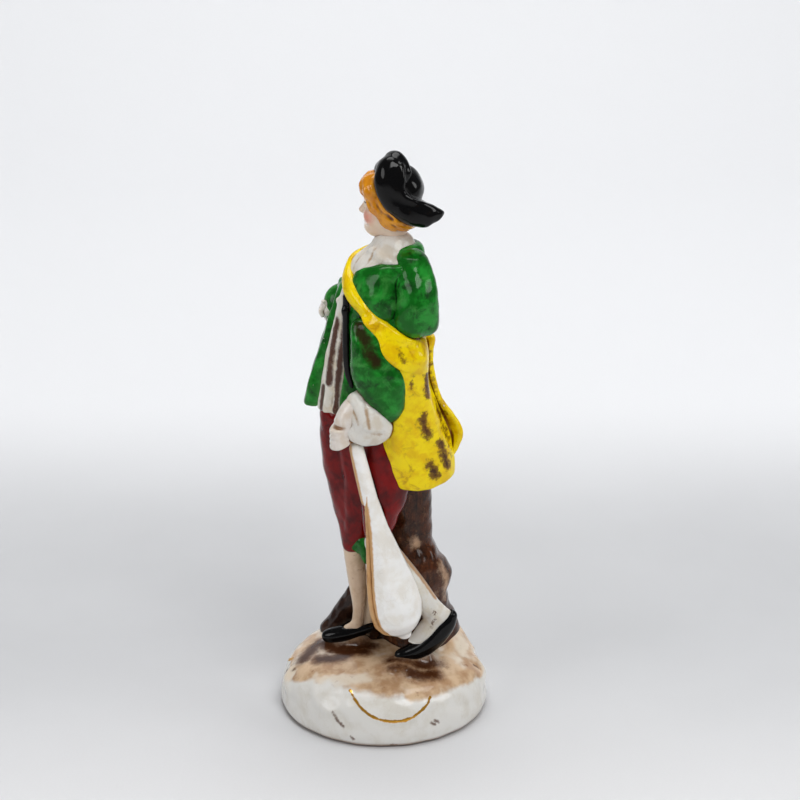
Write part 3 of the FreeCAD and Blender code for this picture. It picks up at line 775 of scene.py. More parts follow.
def make_base():
    clay = Clay("base_mound", (0, 0, 8), cell=0.32)
    slices, axes = clay.window(clay.low, clay.high, clay.cell)
    clay.d[slices] = lathe_distance(axes, MOUND_UNDERSIDE + MOUND_EDGE)
    clay.ball((-11, -8, 12), (6.5, 6.6, 5.6), blend=4)
    clay.ball((-7, 14.5, 12.5), (8.5, 7, 7), blend=4)
    clay.ball((-14, 4, 12), (7, 9, 4.4), blend=4)
    clay.roll([(-3.4, -13.8, 13.6, 2), (-2.8, -9.5, 14.2, 2.6), (-2.6, -6.2, 15.2, 2.6)], blend=1.6)
    clay.roll([(7.2, 3.4, 13.6, 1.8), (7, 7.6, 13.6, 2.2), (6.6, 10.5, 15.2, 2.4)], blend=1.8)
    clay.ball((11.2, 4.4, 14.4), (4.2, 3.8, 1.7), blend=2)
    for turn in EDGE_REPEATS:
        clay.groove([on_mound(angle + turn, height) for angle, height in GOLD_ARC], -0.45, 0.8)
        below = [on_mound(angle + turn, height - 1.3, 0.8) for angle, height in GOLD_ARC[1:-1]]
        clay.groove(below, 0.28, 0.7)
        clay.groove([on_mound(angle + turn, height) for angle, height in SCROLL], -0.7, 1)
        clay.groove([on_mound(-27 + turn, 8.4, 0.3), on_mound(-22 + turn, 5.7, 1),
                     on_mound(-16 + turn, 3.8, 0.2)],
                    0.55, 0.7)
        clay.groove([on_mound(36 + turn, 10.6, 0.2), on_mound(44 + turn, 7.4, 1),
                     on_mound(56 + turn, 5.6, 0.8), on_mound(66 + turn, 6.2, 0.1)], 0.4, 0.9)
    for side, first in ((-1, 74), (1, 82)):
        for step, deep in enumerate((0.9, 1.3, 0.9)):
            angle = side * (first + 8 * step)
            clay.groove([on_mound(angle, 11.6, 0.5), on_mound(angle + side * 2, 9, 1),
                         on_mound(angle, 6, 0.2)],
                        deep, 0.9)
        clay.roll([on_mound(side * (first - 4), 6.4, 0.8), on_mound(side * (first + 3), 8.2, 1.2),
                   on_mound(side * (first + 6), 11, 0.9)], blend=1.4)
    clay.ripple(0.12, 9, 3)
    piece = fire(clay, ground_glaze(), melt=2)
    points, _ = mesh_points(piece)
    angles = np.degrees(np.arctan2(points[:, 1], points[:, 0]))
    border = np.interp(angles, [a for a, z in BORDER_LINE], [z for a, z in BORDER_LINE])
    paint_map(piece, "ground", points[:, 2] - border)
    gold, gilt_scroll = (nearest_line(points, around_mound(line)) for line in (GOLD_ARC, SCROLL))
    paint_map(piece, "gold", np.minimum(gold, gilt_scroll + 0.35))
    # Brown strokes on the ground beside the shoes: brushed paint that also stands for painted shade under the
    # shoes.
    paint_lines(piece, "strokes", [
        [(-3, -17.4, 14.8), (0.6, -13.4, 15.2), (1.6, -8.6, 15.4), (1, -3.4, 16)],
        [(1.6, -13, 14.8), (3.4, -9, 15), (3.6, -5, 15.2)],
        [(3.4, -20.8, 13.2), (-1, -18.4, 13.8), (-4, -16.4, 14.4)],
        [(5.4, -16.8, 14), (6, -12.6, 14.6), (4, -8.4, 15)],
        [(9.6, 2.2, 14.9), (10.8, 6.4, 14.6), (10.2, 11, 15), (8.8, 14.6, 16.4)],
        [(12.6, 3, 14.6), (14.6, 8, 14.2), (13.4, 13, 14.4)],
    ])
    marks = around_mound(((-30, 8), (-27, 6.4), (-23, 5)))
    for side, first in ((-1, 76), (1, 80)):
        for step in range(3):
            angle = side * (first + 5 * step)
            marks.append([on_mound(angle, 11.4 - step), on_mound(angle + side * 4, 8.4 - step)])
    for start, end in SMALL_MARKS:
        marks.append([on_mound(*start), on_mound(*end)])
    paint_lines(piece, "marks", marks)


def around_mound(line):
    """A line of (compass angle, height) on the flank, repeated around the mound."""
    return [[on_mound(angle + turn, height) for angle, height in line] for turn in EDGE_REPEATS]


def ground_glaze():
    """Sponged beige and brown ground over a white border with worn gold scrolls, with painted shade in its
    hollows and beside the shoes.
    """
    brush, white = start_glaze("ground", (226, 224, 219), (216, 212, 203), (168, 146, 118), (240, 238, 234),
                               pool_shade=WHITE_POOL_SHADE, lump=7)
    white = add_crazing(brush, white, (160, 136, 108), 1.8, 0.03, 0.14)
    shaken = brush.times(brush.noise(3.4, 3, 0.55), 1.8)
    level = brush.plus(brush.painted("ground"), shaken)
    earth = brush.mix(brush.between(brush.noise(5, 3, 0.55), 0.36, 0.66), (212, 184, 152),
                      (176, 140, 106))
    earth = brush.mix(brush.between(brush.noise(9, 3, 0.5), 0.46, 0.62, 0, 0.9), earth,
                      (226, 214, 196))
    earth = brush.mix(brush.between(brush.noise(2.4, 5, 0.65), 0.58, 0.76, 0, 0.8), earth,
                      (140, 98, 64))
    # Painted shade: dark brown in the ground's hollows and where the feet, trunk and root stand on it.
    earth = brush.mix(brush.between(brush.painted("crevice"), 0.44, 0.74), earth, (74, 46, 28))
    colour = brush.mix(brush.between(level, 0.5, 1.7), white, earth)
    # Brown strokes beside the shoes, partly brushed paint and partly painted shade.
    colour = add_painted(brush, colour, "strokes", (122, 82, 52), 0.8, 4.2, lump=2.6, shake=2.4, amount=0.85)
    colour = add_painted(brush, colour, "strokes", (62, 29, 8), 0.5, 3, lump=1.8, shake=1.9, amount=0.94)
    colour = add_painted(brush, colour, "marks", (92, 60, 40), 0.1, 0.65, lump=0.8, shake=0.5, amount=0.85)
    worn = brush.plus(brush.painted("gold"), brush.times(brush.noise(1.6, 3, 0.7), 0.9))
    gilt = brush.between(worn, 0.78, 0.92, 1, 0)
    colour = brush.mix(gilt, colour, (206, 150, 48))
    foot = brush.node("SeparateXYZ", {0: brush.place})
    low = brush.between(foot.outputs["Z"], 0.0004, 0.0016, 0.9, 0)
    colour = brush.mix(low, colour, (128, 88, 52))
    brush.feed(brush.shader.inputs["Metallic"], brush.times(gilt, 0.6))
    return finish_glaze(brush, colour, gloss=0.08, coat=0.2, soft=0.1)


TRUNK_LINE = [
    (-7, 10, 13, 10.4), (-6.2, 8.8, 20, 9), (-5.6, 8.4, 27, 8.2), (-5.2, 7.6, 34, 8.2),
    (-5, 6, 42, 7), (-5, 5.8, 50, 6.8), (-5, 5.6, 62, 6.6), (-5, 5.6, 75, 5.8),
]


def on_trunk(angle, height, strength):
    """Point on the trunk's bark at a compass angle from +X, with a strength beside it."""
    heights = [station[2] for station in TRUNK_LINE]
    x, y, radius = (float(np.interp(height, heights, [s[i] for s in TRUNK_LINE])) for i in (0, 1, 3))
    turned = math.radians(angle)
    return (x + radius * math.cos(turned), y + radius * math.sin(turned), height, strength)


def make_trunk():
    clay = Clay("tree_trunk", (-7, 9, 45), cell=0.3, margin=6)
    clay.roll(TRUNK_LINE, blend=1, steps=10)
    clay.ball((-5.5, 12.6, 33.5), (4.8, 4.9, 4.6), blend=3)
    clay.ball((-1.5, 9.4, 36), (3, 4.4, 6), blend=3)
    clay.ball((-7.5, 14, 18), (5, 4.6, 6), blend=3)
    clay.roll([(-5.4, 0.4, 38, 2), (-5, -2, 30, 3), (-5.4, -3.6, 22, 3.4), (-6, -4.6, 15, 4)],
              blend=2.4)
    clay.trim((-5, 10, 12), (0, 0, -1), 0.6)
    chance = np.random.default_rng(11)
    cracks, steps = 26, 5
    for index in range(cracks):
        top = chance.uniform(58, 76)
        foot = chance.uniform(16, 34)
        sway = chance.uniform(-9, 9)
        line = []
        for step in range(steps + 1):
            height = top + (foot - top) * step / steps
            angle = -110 + index * 14 + sway * math.sin(step * 1.4 + index)
            strength = 0.2 if step in (0, steps) else chance.uniform(0.6, 1.2)
            line.append(on_trunk(angle, height, strength))
        clay.groove(line, chance.uniform(0.12, 0.3), chance.uniform(0.6, 1), steps=3)
    clay.groove([on_trunk(24, 58, 0.2), on_trunk(34, 50, 1), on_trunk(30, 44, 1.3), on_trunk(44, 38, 0.6)],
                0.9, 0.9)
    clay.groove([on_trunk(-8, 47, 0.2), on_trunk(10, 44, 1.2), on_trunk(32, 45.5, 0.9),
                 on_trunk(50, 43, 0.2)],
                0.8, 0.6)
    clay.ripple(0.22, 4, 6)
    piece = fire(clay, bark_glaze(), melt=2)
    paint_lines(piece, "bare", [[(-3.4, -2, 33), (-2.4, -4.4, 26), (-2.6, -6.4, 19)]])
    paint_lines(piece, "wash", [
        [(0.8, 7.4, 45.6), (0.8, 7.9, 44.6)],
        [(-1.4, 13.6, 37.6), (-1.4, 16, 33), (-1.8, 16.8, 28)],
        [(-0.6, 11.6, 34), (-0.4, 12.6, 30)],
    ])


def bark_glaze():
    """Browns brushed downwards over white clay, thin in places, left bare beside the leading leg."""
    brush, colour = start_glaze("bark", (80, 42, 22), (56, 30, 16), (26, 14, 9), (126, 88, 60), lump=3.2)
    streaks = brush.between(brush.noise(1.1, 4, 0.7, 0, 5), 0.46, 0.66)
    colour = brush.mix(brush.times(streaks, 0.75), colour, (36, 22, 15))
    thin = brush.between(brush.noise(1.6, 5, 0.75, 0.4, 2.6), 0.56, 0.74, 0, 0.75)
    colour = brush.mix(thin, colour, (128, 88, 60))
    colour = add_stain(brush, colour, (118, 82, 54), 0.9, 0.56, 0.70, 0.5)
    colour = add_stain(brush, colour, (24, 14, 9), 1.3, 0.54, 0.64, 0.6)
    colour = add_painted(brush, colour, "wash", (186, 152, 122), 0, 2.2, lump=2, shake=2, amount=0.9)
    colour = add_painted(brush, colour, "bare", (206, 184, 158), 2, 3.6, lump=2, shake=1.4, amount=0.95)
    colour = add_chips(brush, colour, chip=(222, 206, 184), size=1.4, rarity=0.70)
    return finish_glaze(brush, colour, gloss=0.16, coat=0.1, unevenness=0.3)


def make_root():
    clay = Clay("tree_root", (-10, -8, 24), cell=0.25, margin=3)
    clay.roll([(-6, 3, 36, 2.4), (-8.4, 0, 33, 2.5), (-8.8, -4.6, 29.6, 2.6), (-9.4, -8.6, 23.8, 2.6),
               (-10, -11.6, 18.4, 2.7), (-10.8, -14.4, 14.4, 2.6)], blend=0.8)
    clay.roll([(-8.8, -4.6, 26.6, 1.6), (-8.6, -6, 21, 1.5), (-8, -7, 15.6, 1.8)], blend=1.4)
    clay.groove([(-6.4, -2.4, 33, 0.4), (-6.5, -6.8, 28.2, 1.2), (-7, -10.4, 21.4, 1),
                 (-7.6, -13.2, 16, 0.3)], 0.7, 0.7)
    clay.groove([(-7.6, -1, 35, 0.3), (-7.6, -6.4, 31.2, 1), (-8.4, -10.8, 25, 0.9),
                 (-9.2, -13.6, 19, 0.3)], 0.5, 0.6)
    clay.ripple(0.15, 4, 8)
    brush, colour = start_glaze("root", (44, 28, 22), (62, 40, 30), (12, 8, 6), (112, 84, 66),
                                pool_shade=(0.34, 0.62), lump=2.8)
    colour = add_chips(brush, colour, chip=(196, 176, 152), size=1.3, rarity=0.7)
    dark_bark = finish_glaze(brush, colour, gloss=0.12, coat=0.2, unevenness=0.25)
    fire(clay, dark_bark, melt=2)


# ---------------------------------------------------------------- legs


def make_shoes(black):
    clay = Clay("right_shoe", (-3, -10, 17), cell=0.16)
    clay.roll([(-2.4, -3.4, 19.4, 1.3), (-2.5, -6, 18.6, 1.9), (-2.7, -9.6, 17.4, 2.3), (-3, -13, 16.5, 2.2),
               (-3.1, -14.6, 16.3, 1.7)], blend=0.5, steps=8)
    clay.roll([(-2.5, -4.6, 21.4, 1.2), (-2.5, -7, 21.2, 1.9), (-2.6, -9.6, 20.4, 1.5)], blend=0.25,
              carve=True)
    clay.groove([(-0.9, -3.4, 18, 0.6), (-0.5, -7, 16.8, 1), (-0.5, -11.4, 15.6, 1),
                 (-1.8, -15.4, 15.2, 0.6)], 0.2, 0.3)
    fire(clay, black)

    clay = Clay("left_shoe", (7, 11, 21), cell=0.16)
    clay.roll([(7.4, 4.2, 16.2, 1.5), (7.1, 6.6, 16.6, 2.2), (6.8, 9.6, 18, 2.7), (6.5, 12.8, 20.8, 2.9),
               (6.4, 15.6, 24.4, 2.6), (6.3, 17, 26.8, 1.8)], blend=0.5, steps=8)
    clay.roll([(6.6, 7, 21, 1.7), (6.5, 10.6, 24.6, 2.8), (6.4, 14.2, 29.4, 3.2)], blend=0.25, carve=True)
    clay.groove([(9.2, 4.6, 15.4, 0.6), (9.5, 8.4, 15.6, 1), (9.5, 12.4, 17.9, 1), (8.9, 16.4, 21.8, 0.6)],
                0.2, 0.3)
    fire(clay, black)


def make_stockings():
    clay = Clay("right_stocking", (-3, -7, 33), cell=0.2)
    clay.roll([(-2.5, -7, 17.6, 1.4), (-2.5, -6.9, 20.5, 1.5), (-2.5, -6.5, 25, 1.6), (-2.5, -6.8, 32, 2.3),
               (-2.5, -7.2, 37, 2.6), (-2.5, -7.5, 42, 2.9), (-2.5, -7.5, 44.5, 3)], blend=0.5)
    clay.roll([(-2.5, -7.6, 19.6, 1.3), (-2.5, -9.4, 18.6, 1.3)], blend=0.8)
    clay.groove([(-0.2, -8.6, 41, 0.3), (0, -7.4, 36, 1), (-0.4, -6.6, 30, 0.8), (-0.8, -6.4, 24, 0.3)],
                0.16, 0.5)
    # Painted shade: the far leg's stocking is glazed beige, darker than the white near stocking, for the
    # shade it stands in.
    brush, colour = start_glaze("beige_stocking", (226, 202, 176), (212, 184, 154), (112, 78, 52),
                                (222, 208, 190), pool_shade=WHITE_POOL_SHADE)
    colour = add_stain(brush, colour, (146, 104, 66), 2.4, 0.6, 0.74, 0.7)
    beige = finish_glaze(brush, colour, gloss=0.1, coat=0.2, soft=0.1)
    fire(clay, beige)

    clay = Clay("left_stocking", (6, 6, 37), cell=0.22)
    clay.roll([(6.3, -1.6, 47.6, 3.3), (6.3, -0.4, 45.6, 3.6), (6.5, 3.4, 40.8, 3.5), (6.6, 7.4, 35.6, 3.3),
               (6.7, 10.8, 31, 2.9), (6.6, 12.8, 27.8, 2.9)], blend=0.6)
    clay.roll([(6.4, 13.6, 26.6, 2.4), (6.6, 10.8, 22.8, 2.5), (6.9, 7.4, 18.6, 1.8)], blend=1.2)
    clay.roll([(6.3, 16, 27, 1.6), (6.5, 13.4, 28, 2.4)], blend=1.2)
    clay.groove([(8.6, 11.6, 30.6, 0.4), (9.2, 11, 27.4, 1), (9.1, 9.4, 24.8, 0.4)], 0.3, 0.6)
    piece = fire(clay, left_stocking_glaze())
    # Painted shade: a tan line along the upper edge of the calf.
    paint_lines(piece, "calf_edge_shade", [[(7, 2.2, 48), (7.2, 5.9, 43.1), (7.3, 9.8, 37.8), (7.3, 13, 32.8)]])
    # Painted shade: dark brown in the crease of the ankle, between the lute and the leg.
    paint_lines(piece, "ankle_shade", [[(9, 11, 31), (9.2, 13, 28.4), (8.8, 12, 24.8)]])


def left_stocking_glaze():
    brush, colour = start_glaze("white_stocking", (224, 221, 214), (214, 206, 190), (128, 94, 62),
                                (246, 244, 238), pool_shade=WHITE_POOL_SHADE)
    colour = add_crazing(brush, colour, (160, 136, 108), 1.6, 0.03, 0.16)
    # Painted shade along the calf's upper edge, in tan.
    colour = add_painted(brush, colour, "calf_edge_shade", (178, 134, 88), 0.6, 1.2, lump=1.4, shake=0.4, amount=0.85)
    # Painted shade at the ankle beside the lute, in dark brown.
    colour = add_painted(brush, colour, "ankle_shade", (96, 62, 38), 0, 0.5, lump=0.9, shake=1.6, amount=0.85)
    return finish_glaze(brush, colour, gloss=0.08, coat=0.2, soft=0.12)


def make_breeches(red):
    clay = Clay("right_breeches_leg", (-2, -7, 64), cell=0.25)
    clay.roll([(-2, -4.6, 80, 6.6), (-2, -4.8, 72, 6.6), (-2, -5, 62, 6.2), (-2.2, -5.6, 53, 5.4),
               (-2.4, -6.6, 47, 4.2), (-2.5, -7.5, 43.4, 3.3)], blend=0.8)
    clay.roll([(-4.5, -10.5, 78, 5.6), (-5, -10.2, 68, 5.6), (-5, -9, 60, 5.4), (-4.5, -8.2, 52, 4.4),
               (-3.6, -7.8, 46.6, 3.3)], blend=1.2)
    for start, middle, end in (
        ((-0.6, -14, 79, 0.3), (0.6, -11.6, 70, 1), (0.6, -9.6, 61, 0.4)),
        ((2.4, -10.6, 79, 0.3), (2.6, -9, 72, 1), (2.2, -7.4, 64, 0.3)),
        ((3.6, -7, 78, 0.3), (3.6, -6, 70, 0.8), (2.8, -6.4, 60, 0.2)),
    ):
        clay.groove([start, middle, end], 0.4, 0.9)
        clay.groove([(p[0] + 0.5, p[1] + 1.6, p[2], p[3]) for p in (start, middle, end)], -0.35, 0.7)
    clay.groove([(0.8, -8.4, 72, 0.3), (1.2, -7.8, 64, 1), (0.8, -7.6, 56, 1.2), (0.2, -8.4, 50, 0.8),
                 (-0.4, -9, 45, 0.3)], -0.75, 0.5)
    clay.groove([(0.6, -9.8, 70, 0.2), (0.8, -9.2, 62, 1), (0.4, -9.2, 54, 1), (-0.4, -10, 48, 0.4)],
                0.6, 0.8)
    for index in range(7):
        across = -9.6 + index * 1.1
        clay.groove([(0.9 - 0.25 * abs(index - 3), across, 43.4, 1),
                     (1.6 - 0.3 * abs(index - 3), across - 0.2, 48, 0.2)], 0.35, 0.35)
    clay.groove([(0.6, -10.4, 44.6, 1), (1.2, -7.6, 44.2, 1), (0.8, -4.8, 44.6, 1)], 0.4, 0.4)
    clay.ripple(0.12, 5, 21)
    fire(clay, red, melt=2)

    clay = Clay("left_breeches_leg", (4, -1, 65), cell=0.25)
    clay.roll([(2.6, -0.8, 83, 6.8), (3.5, -0.5, 80, 7.2), (4.2, -0.2, 73, 7.2), (5, 0.2, 66, 6.7),
               (5.4, 0.1, 61, 6.1), (6, -0.9, 55, 4.6), (6.3, -1.4, 50.5, 3.6), (6.4, -0.8, 47.6, 3.1)],
              blend=0.8)
    clay.groove([(10.2, 3.6, 72, 0.2), (10.9, 3, 66, 1), (10.8, 1.6, 60, 1), (10, -0.6, 54, 0.8),
                 (9.4, -1.4, 50, 0.3)], -0.5, 0.6)
    clay.groove([(11.2, 1, 70, 0.2), (11.2, 0.6, 64, 1), (10.4, -1, 58, 1), (9.4, -2.8, 52, 0.3)],
                0.4, 0.9)
    for index in range(6):
        across = -3.4 + index
        clay.groove([(9.2 - 0.2 * abs(index - 3), across, 47, 1),
                     (9.9 - 0.2 * abs(index - 3), across, 51, 0.2)],
                    0.3, 0.35)
    clay.ripple(0.12, 5, 22)
    fire(clay, red, melt=2)


def make_garter(green):
    clay = Clay("garter_bow", (1, -5, 43), cell=0.16)
    clay.strap([(0.4, -7.2, 43.4, 1), (1, -5.6, 45.4, 1.3), (1.2, -3.8, 44.6, 1.2), (1, -4.2, 42.4, 1),
                (0.4, -6.4, 42.6, 0.9)], (1, 0.1, 0), 0.8, blend=0.4)
    clay.roll([(0.6, -5.8, 46, 1), (1.3, -5.2, 44.2, 1.4), (1.3, -4.6, 41.6, 1.3), (0.8, -4.4, 39.8, 0.9)],
              blend=0.5)
    clay.ball((0.8, -6, 43.2), (1.1, 1, 1), blend=0.4)
    clay.groove([(1.9, -5.6, 44.8, 0.4), (2, -4.6, 44, 1), (1.9, -5.6, 43.2, 0.4)], 0.3, 0.35)
    fire(clay, green)


# ---------------------------------------------------------------- lute

LUTE_FOOT = np.array([11.2, 4.4, 24.6])
LUTE_RISE = unit((0.0384, -0.2126, 1))
LUTE_BACK = unit((0.766, 0.643, 0.107))
LUTE_ACROSS = np.cross(LUTE_RISE, LUTE_BACK)


def on_lute(up, across, out, *size):
    """Point along the lute's axis, across it and outwards from its soundboard, with a size beside it."""
    return tuple(LUTE_FOOT + LUTE_RISE * up + LUTE_ACROSS * across + LUTE_BACK * out) + size


def lute_frame(axes):
    """Coordinates along, across and outwards of the lute."""
    offsets = [axis - start for axis, start in zip(axes, LUTE_FOOT)]
    return tuple(sum(part * offset for part, offset in zip(direction, offsets))
                 for direction in (LUTE_RISE, LUTE_ACROSS, LUTE_BACK))


LUTE_OUTLINE = [(-0.6, 1.2), (1.6, 4.6), (4.6, 6.5), (8.6, 7.1), (12.6, 6.8), (17, 6), (21, 5.1), (26, 4),
                (31, 3.1), (36.5, 2.5), (42.5, 2.1)]


def make_lute():
    lengths = [up for up, wide in LUTE_OUTLINE]
    widths = [wide for up, wide in LUTE_OUTLINE]

    clay = Clay("lute_bowl", (10, 1, 44), cell=0.25)
    slices, axes = clay.window(clay.low, clay.high, clay.cell)
    up, across, out = lute_frame(axes)
    wide = np.interp(up, lengths, widths)
    deep = wide * 0.98
    ribs = 0.03 * np.cos(9 * np.arctan2(across, np.maximum(out, 0.01)))
    first = np.sqrt((across / wide) ** 2 + (out / deep) ** 2)
    bulb = (first - 1) * np.minimum(wide, deep) - ribs * (up < 36)
    ends = np.maximum(lengths[0] - up, up - lengths[-1])
    body = -soft_min(-bulb, -(ends + 0 * bulb), 1.2)
    clay.d[slices] = -soft_min(-body, (out - 0.2 + 0 * body), 0.4)
    clay.ball(on_lute(-0.2, 0, 1.2), (2, 2, 1.2), blend=1)
    clay.ripple(0.08, 3, 31)
    lute_white = lute_glaze()
    piece = fire(clay, lute_white, melt=2)
    paint_lines(piece, "rim", [[on_lute(length, side * width, 0.4) for length, width in LUTE_OUTLINE]
                               for side in SIDES])

    clay = Clay("lute_soundboard", (12, 1, 44), cell=0.25)
    slices, axes = clay.window(clay.low, clay.high, clay.cell)
    up, across, out = lute_frame(axes)
    wide = np.interp(up, lengths, widths) + np.interp(up, (20, 40), (0.25, -1))
    thick = np.interp(up, (0, 10, 34, 42), (1.9, 1.4, 1, 0.5))
    plate = np.maximum(np.abs(across) - wide, np.maximum(-thick - out, out - 0.3))
    ends = np.maximum(lengths[0] - 0.3 - up, up - lengths[-1])
    clay.d[slices] = -soft_min(-plate, -(ends + 0 * plate), 0.5)
    clay.ball(on_lute(19, 0, -1.8), (2.3, 2.3, 1), blend=0.2, carve=True)
    clay.roll([on_lute(6, -2.4, -1.7, 0.5), on_lute(6, 2.4, -1.7, 0.5)], blend=0.2)
    for string in range(-2, 3):
        clay.groove([on_lute(6, string * 0.7, -1.6, 1), on_lute(42, string * 0.35, -1.6, 1)], -0.25, 0.22)
    clay.ripple(0.07, 3, 32)
    brush, colour = start_glaze("soundboard", (208, 164, 112), (194, 146, 94), (112, 72, 42), (226, 198, 156))
    colour = add_stain(brush, colour, (138, 88, 48), 3, 0.56, 0.74, 0.7)
    tan = finish_glaze(brush, colour, gloss=0.1, coat=0.2)
    fire(clay, tan)

    clay = Clay("lute_neck", (13, -5, 70), cell=0.2)
    clay.roll([on_lute(38.5, 0, 0.1, 2.15), on_lute(46, 0, -0.1, 2), on_lute(52.6, 0, -0.1, 1.8)],
              blend=0.4)
    piece = fire(clay, lute_white)
    paint_lines(piece, "rim", [[on_lute(38, -1.9, -0.9), on_lute(46, -1.8, -0.9), on_lute(53, -1.6, -0.9)]])

    clay = Clay("lute_pegbox", (11, -6, 78), cell=0.18)
    tip = np.array(on_lute(52, 0, 0))
    clay.roll([(*tip, 1.6), (*(tip + (-1.4, -0.2, 2.4)), 1.45), (*(tip + (-4, 0.2, 4.2)), 1)], blend=0.3)
    for peg in range(3):
        at = tip + (-0.9 - peg * 1.1, 0, 1.8 + peg * 0.9)
        clay.roll([(*(at + (0, -1.6, 0)), 0.42), (*(at + (0, 1.6, 0)), 0.42)], blend=0.2)
    fire(clay, tan)


def lute_glaze():
    brush, colour = start_glaze("lute_white", (250, 249, 246), (238, 234, 226), (150, 120, 88),
                                (240, 238, 234), pool_shade=WHITE_POOL_SHADE, lump=6)
    colour = add_crazing(brush, colour, (156, 130, 100), 1.8, 0.03, 0.14)
    colour = add_painted(brush, colour, "rim", (206, 158, 104), 1, 1.5, lump=1.4, shake=0.4)
    colour = add_stain(brush, colour, (186, 158, 120), 5, 0.62, 0.80, 0.35)
    return finish_glaze(brush, colour, gloss=0.06, coat=0.2, soft=0.12)


# ---------------------------------------------------------------- waistcoat, coat and arms

BODY_LINE = [
    (-1.2, -5.6, 79.5, 8.4, 10.4), (-0.8, -4.2, 88, 7.8, 9.2), (-0.2, -2.4, 96, 7.2, 8),
    (0.2, -0.6, 106, 8.2, 8), (0.4, 0.4, 114, 8.6, 8.4), (0.6, 2, 120.5, 6.8, 7),
]
BODY_TURN = 14
FLARE_TOP, FLARE_HEIGHT = 96, 16.5


def body_line(thicker, flare=0):
    """The body's ovals from hips to shoulders, thickened, and widened more towards the hem."""
    line = []
    for x, y, z, half_x, half_y in BODY_LINE:
        hem = max(0, (FLARE_TOP - z) / FLARE_HEIGHT)
        line.append((x, y, z, half_x + thicker + flare * hem * 0.5, half_y + thicker + flare * hem))
    return line


def wedge_keep(clay, first, last):
    """Keeps what lies between two compass angles measured from -Y towards +X, about the chest's axis."""
    for angle, side in ((first, -1), (last, 1)):
        turned = math.radians(angle)
        clay.trim((0, -1, 0), (side * math.cos(turned), side * math.sin(turned), 0), 0.5)


def make_waistcoat():
    clay = Clay("waistcoat", (-1, -4, 100), cell=0.28)

    def pleats(angle, z):
        hem = np.clip((104 - z) / 24, 0, 1)
        return 0.4 * hem * np.cos(11 * angle) + 0.12 * hem * np.cos(23 * angle + 1)

    column(clay, body_line(0.2), BODY_TURN, pleats)
    column(clay, [(1.4, -9.8, 79.8, 4.6, 6.6), (1.4, -9.4, 84.5, 4.6, 6.4), (1.4, -8.7, 95, 4.6, 5.6),
                  (1.6, -7.3, 103.4, 4.6, 5.2), (2, -6.1, 110.3, 4.6, 4.8), (2.4, -4.4, 117, 4.2, 4.4)],
           0, pleats, blend=1)
    for height, lean in ((110.5, 0.8), (104, 0.4), (97.5, 0.2)):
        clay.ball((1.2 + lean, -10.9 + (110 - height) * 0.16, height), (0.8, 0.6, 0.8), blend=0.2)
    clay.groove([(2.6, -8.6, 116, 0.6), (2.4, -9.6, 106, 1), (2.2, -11.4, 94, 1), (1.6, -14.4, 82, 0.6)],
                0.5, 0.45)
    clay.trim((1.5, -14, 81.8), (0, 0.1, -1), 0.8)
    clay.ripple(0.1, 4, 41)
    piece = fire(clay, waistcoat_glaze())
    paint_lines(piece, "strokes", [
        [(5.4, -8.8, 112), (6.2, -9.6, 104), (6.2, -10.6, 96), (6.4, -11.6, 88), (6.6, -12, 82)],
        [(1.4, -11, 110), (0.6, -12.8, 103), (0, -14.6, 95), (-0.6, -16, 88)],
        [(4, -11, 106), (4, -12.4, 98), (4.2, -13.2, 90)],
        [(3, -14.6, 88), (3, -15.2, 81)],
    ])


def waistcoat_glaze():
    """White glaze with brown brush strokes running down the pleats."""
    brush, colour = start_glaze("waistcoat", (230, 226, 216), (218, 206, 184), (104, 66, 38), (246, 244, 238),
                                pool_shade=WHITE_POOL_SHADE)
    colour = add_painted(brush, colour, "strokes", (72, 30, 8), 0.6, 1.4, lump=3.2, shake=0.8, amount=0.97)
    colour = add_crazing(brush, colour, (150, 122, 92), 1.8, 0.03, 0.35)
    return finish_glaze(brush, colour, gloss=0.08, coat=0.2, soft=0.1)


def coat_folds(angle, z):
    """Soft flutes that deepen towards the coat's hem."""
    hem = np.clip((106 - z) / 24, 0, 1)
    return hem * (0.45 * np.cos(5 * angle + 0.6) + 0.15 * np.cos(11 * angle + 2))


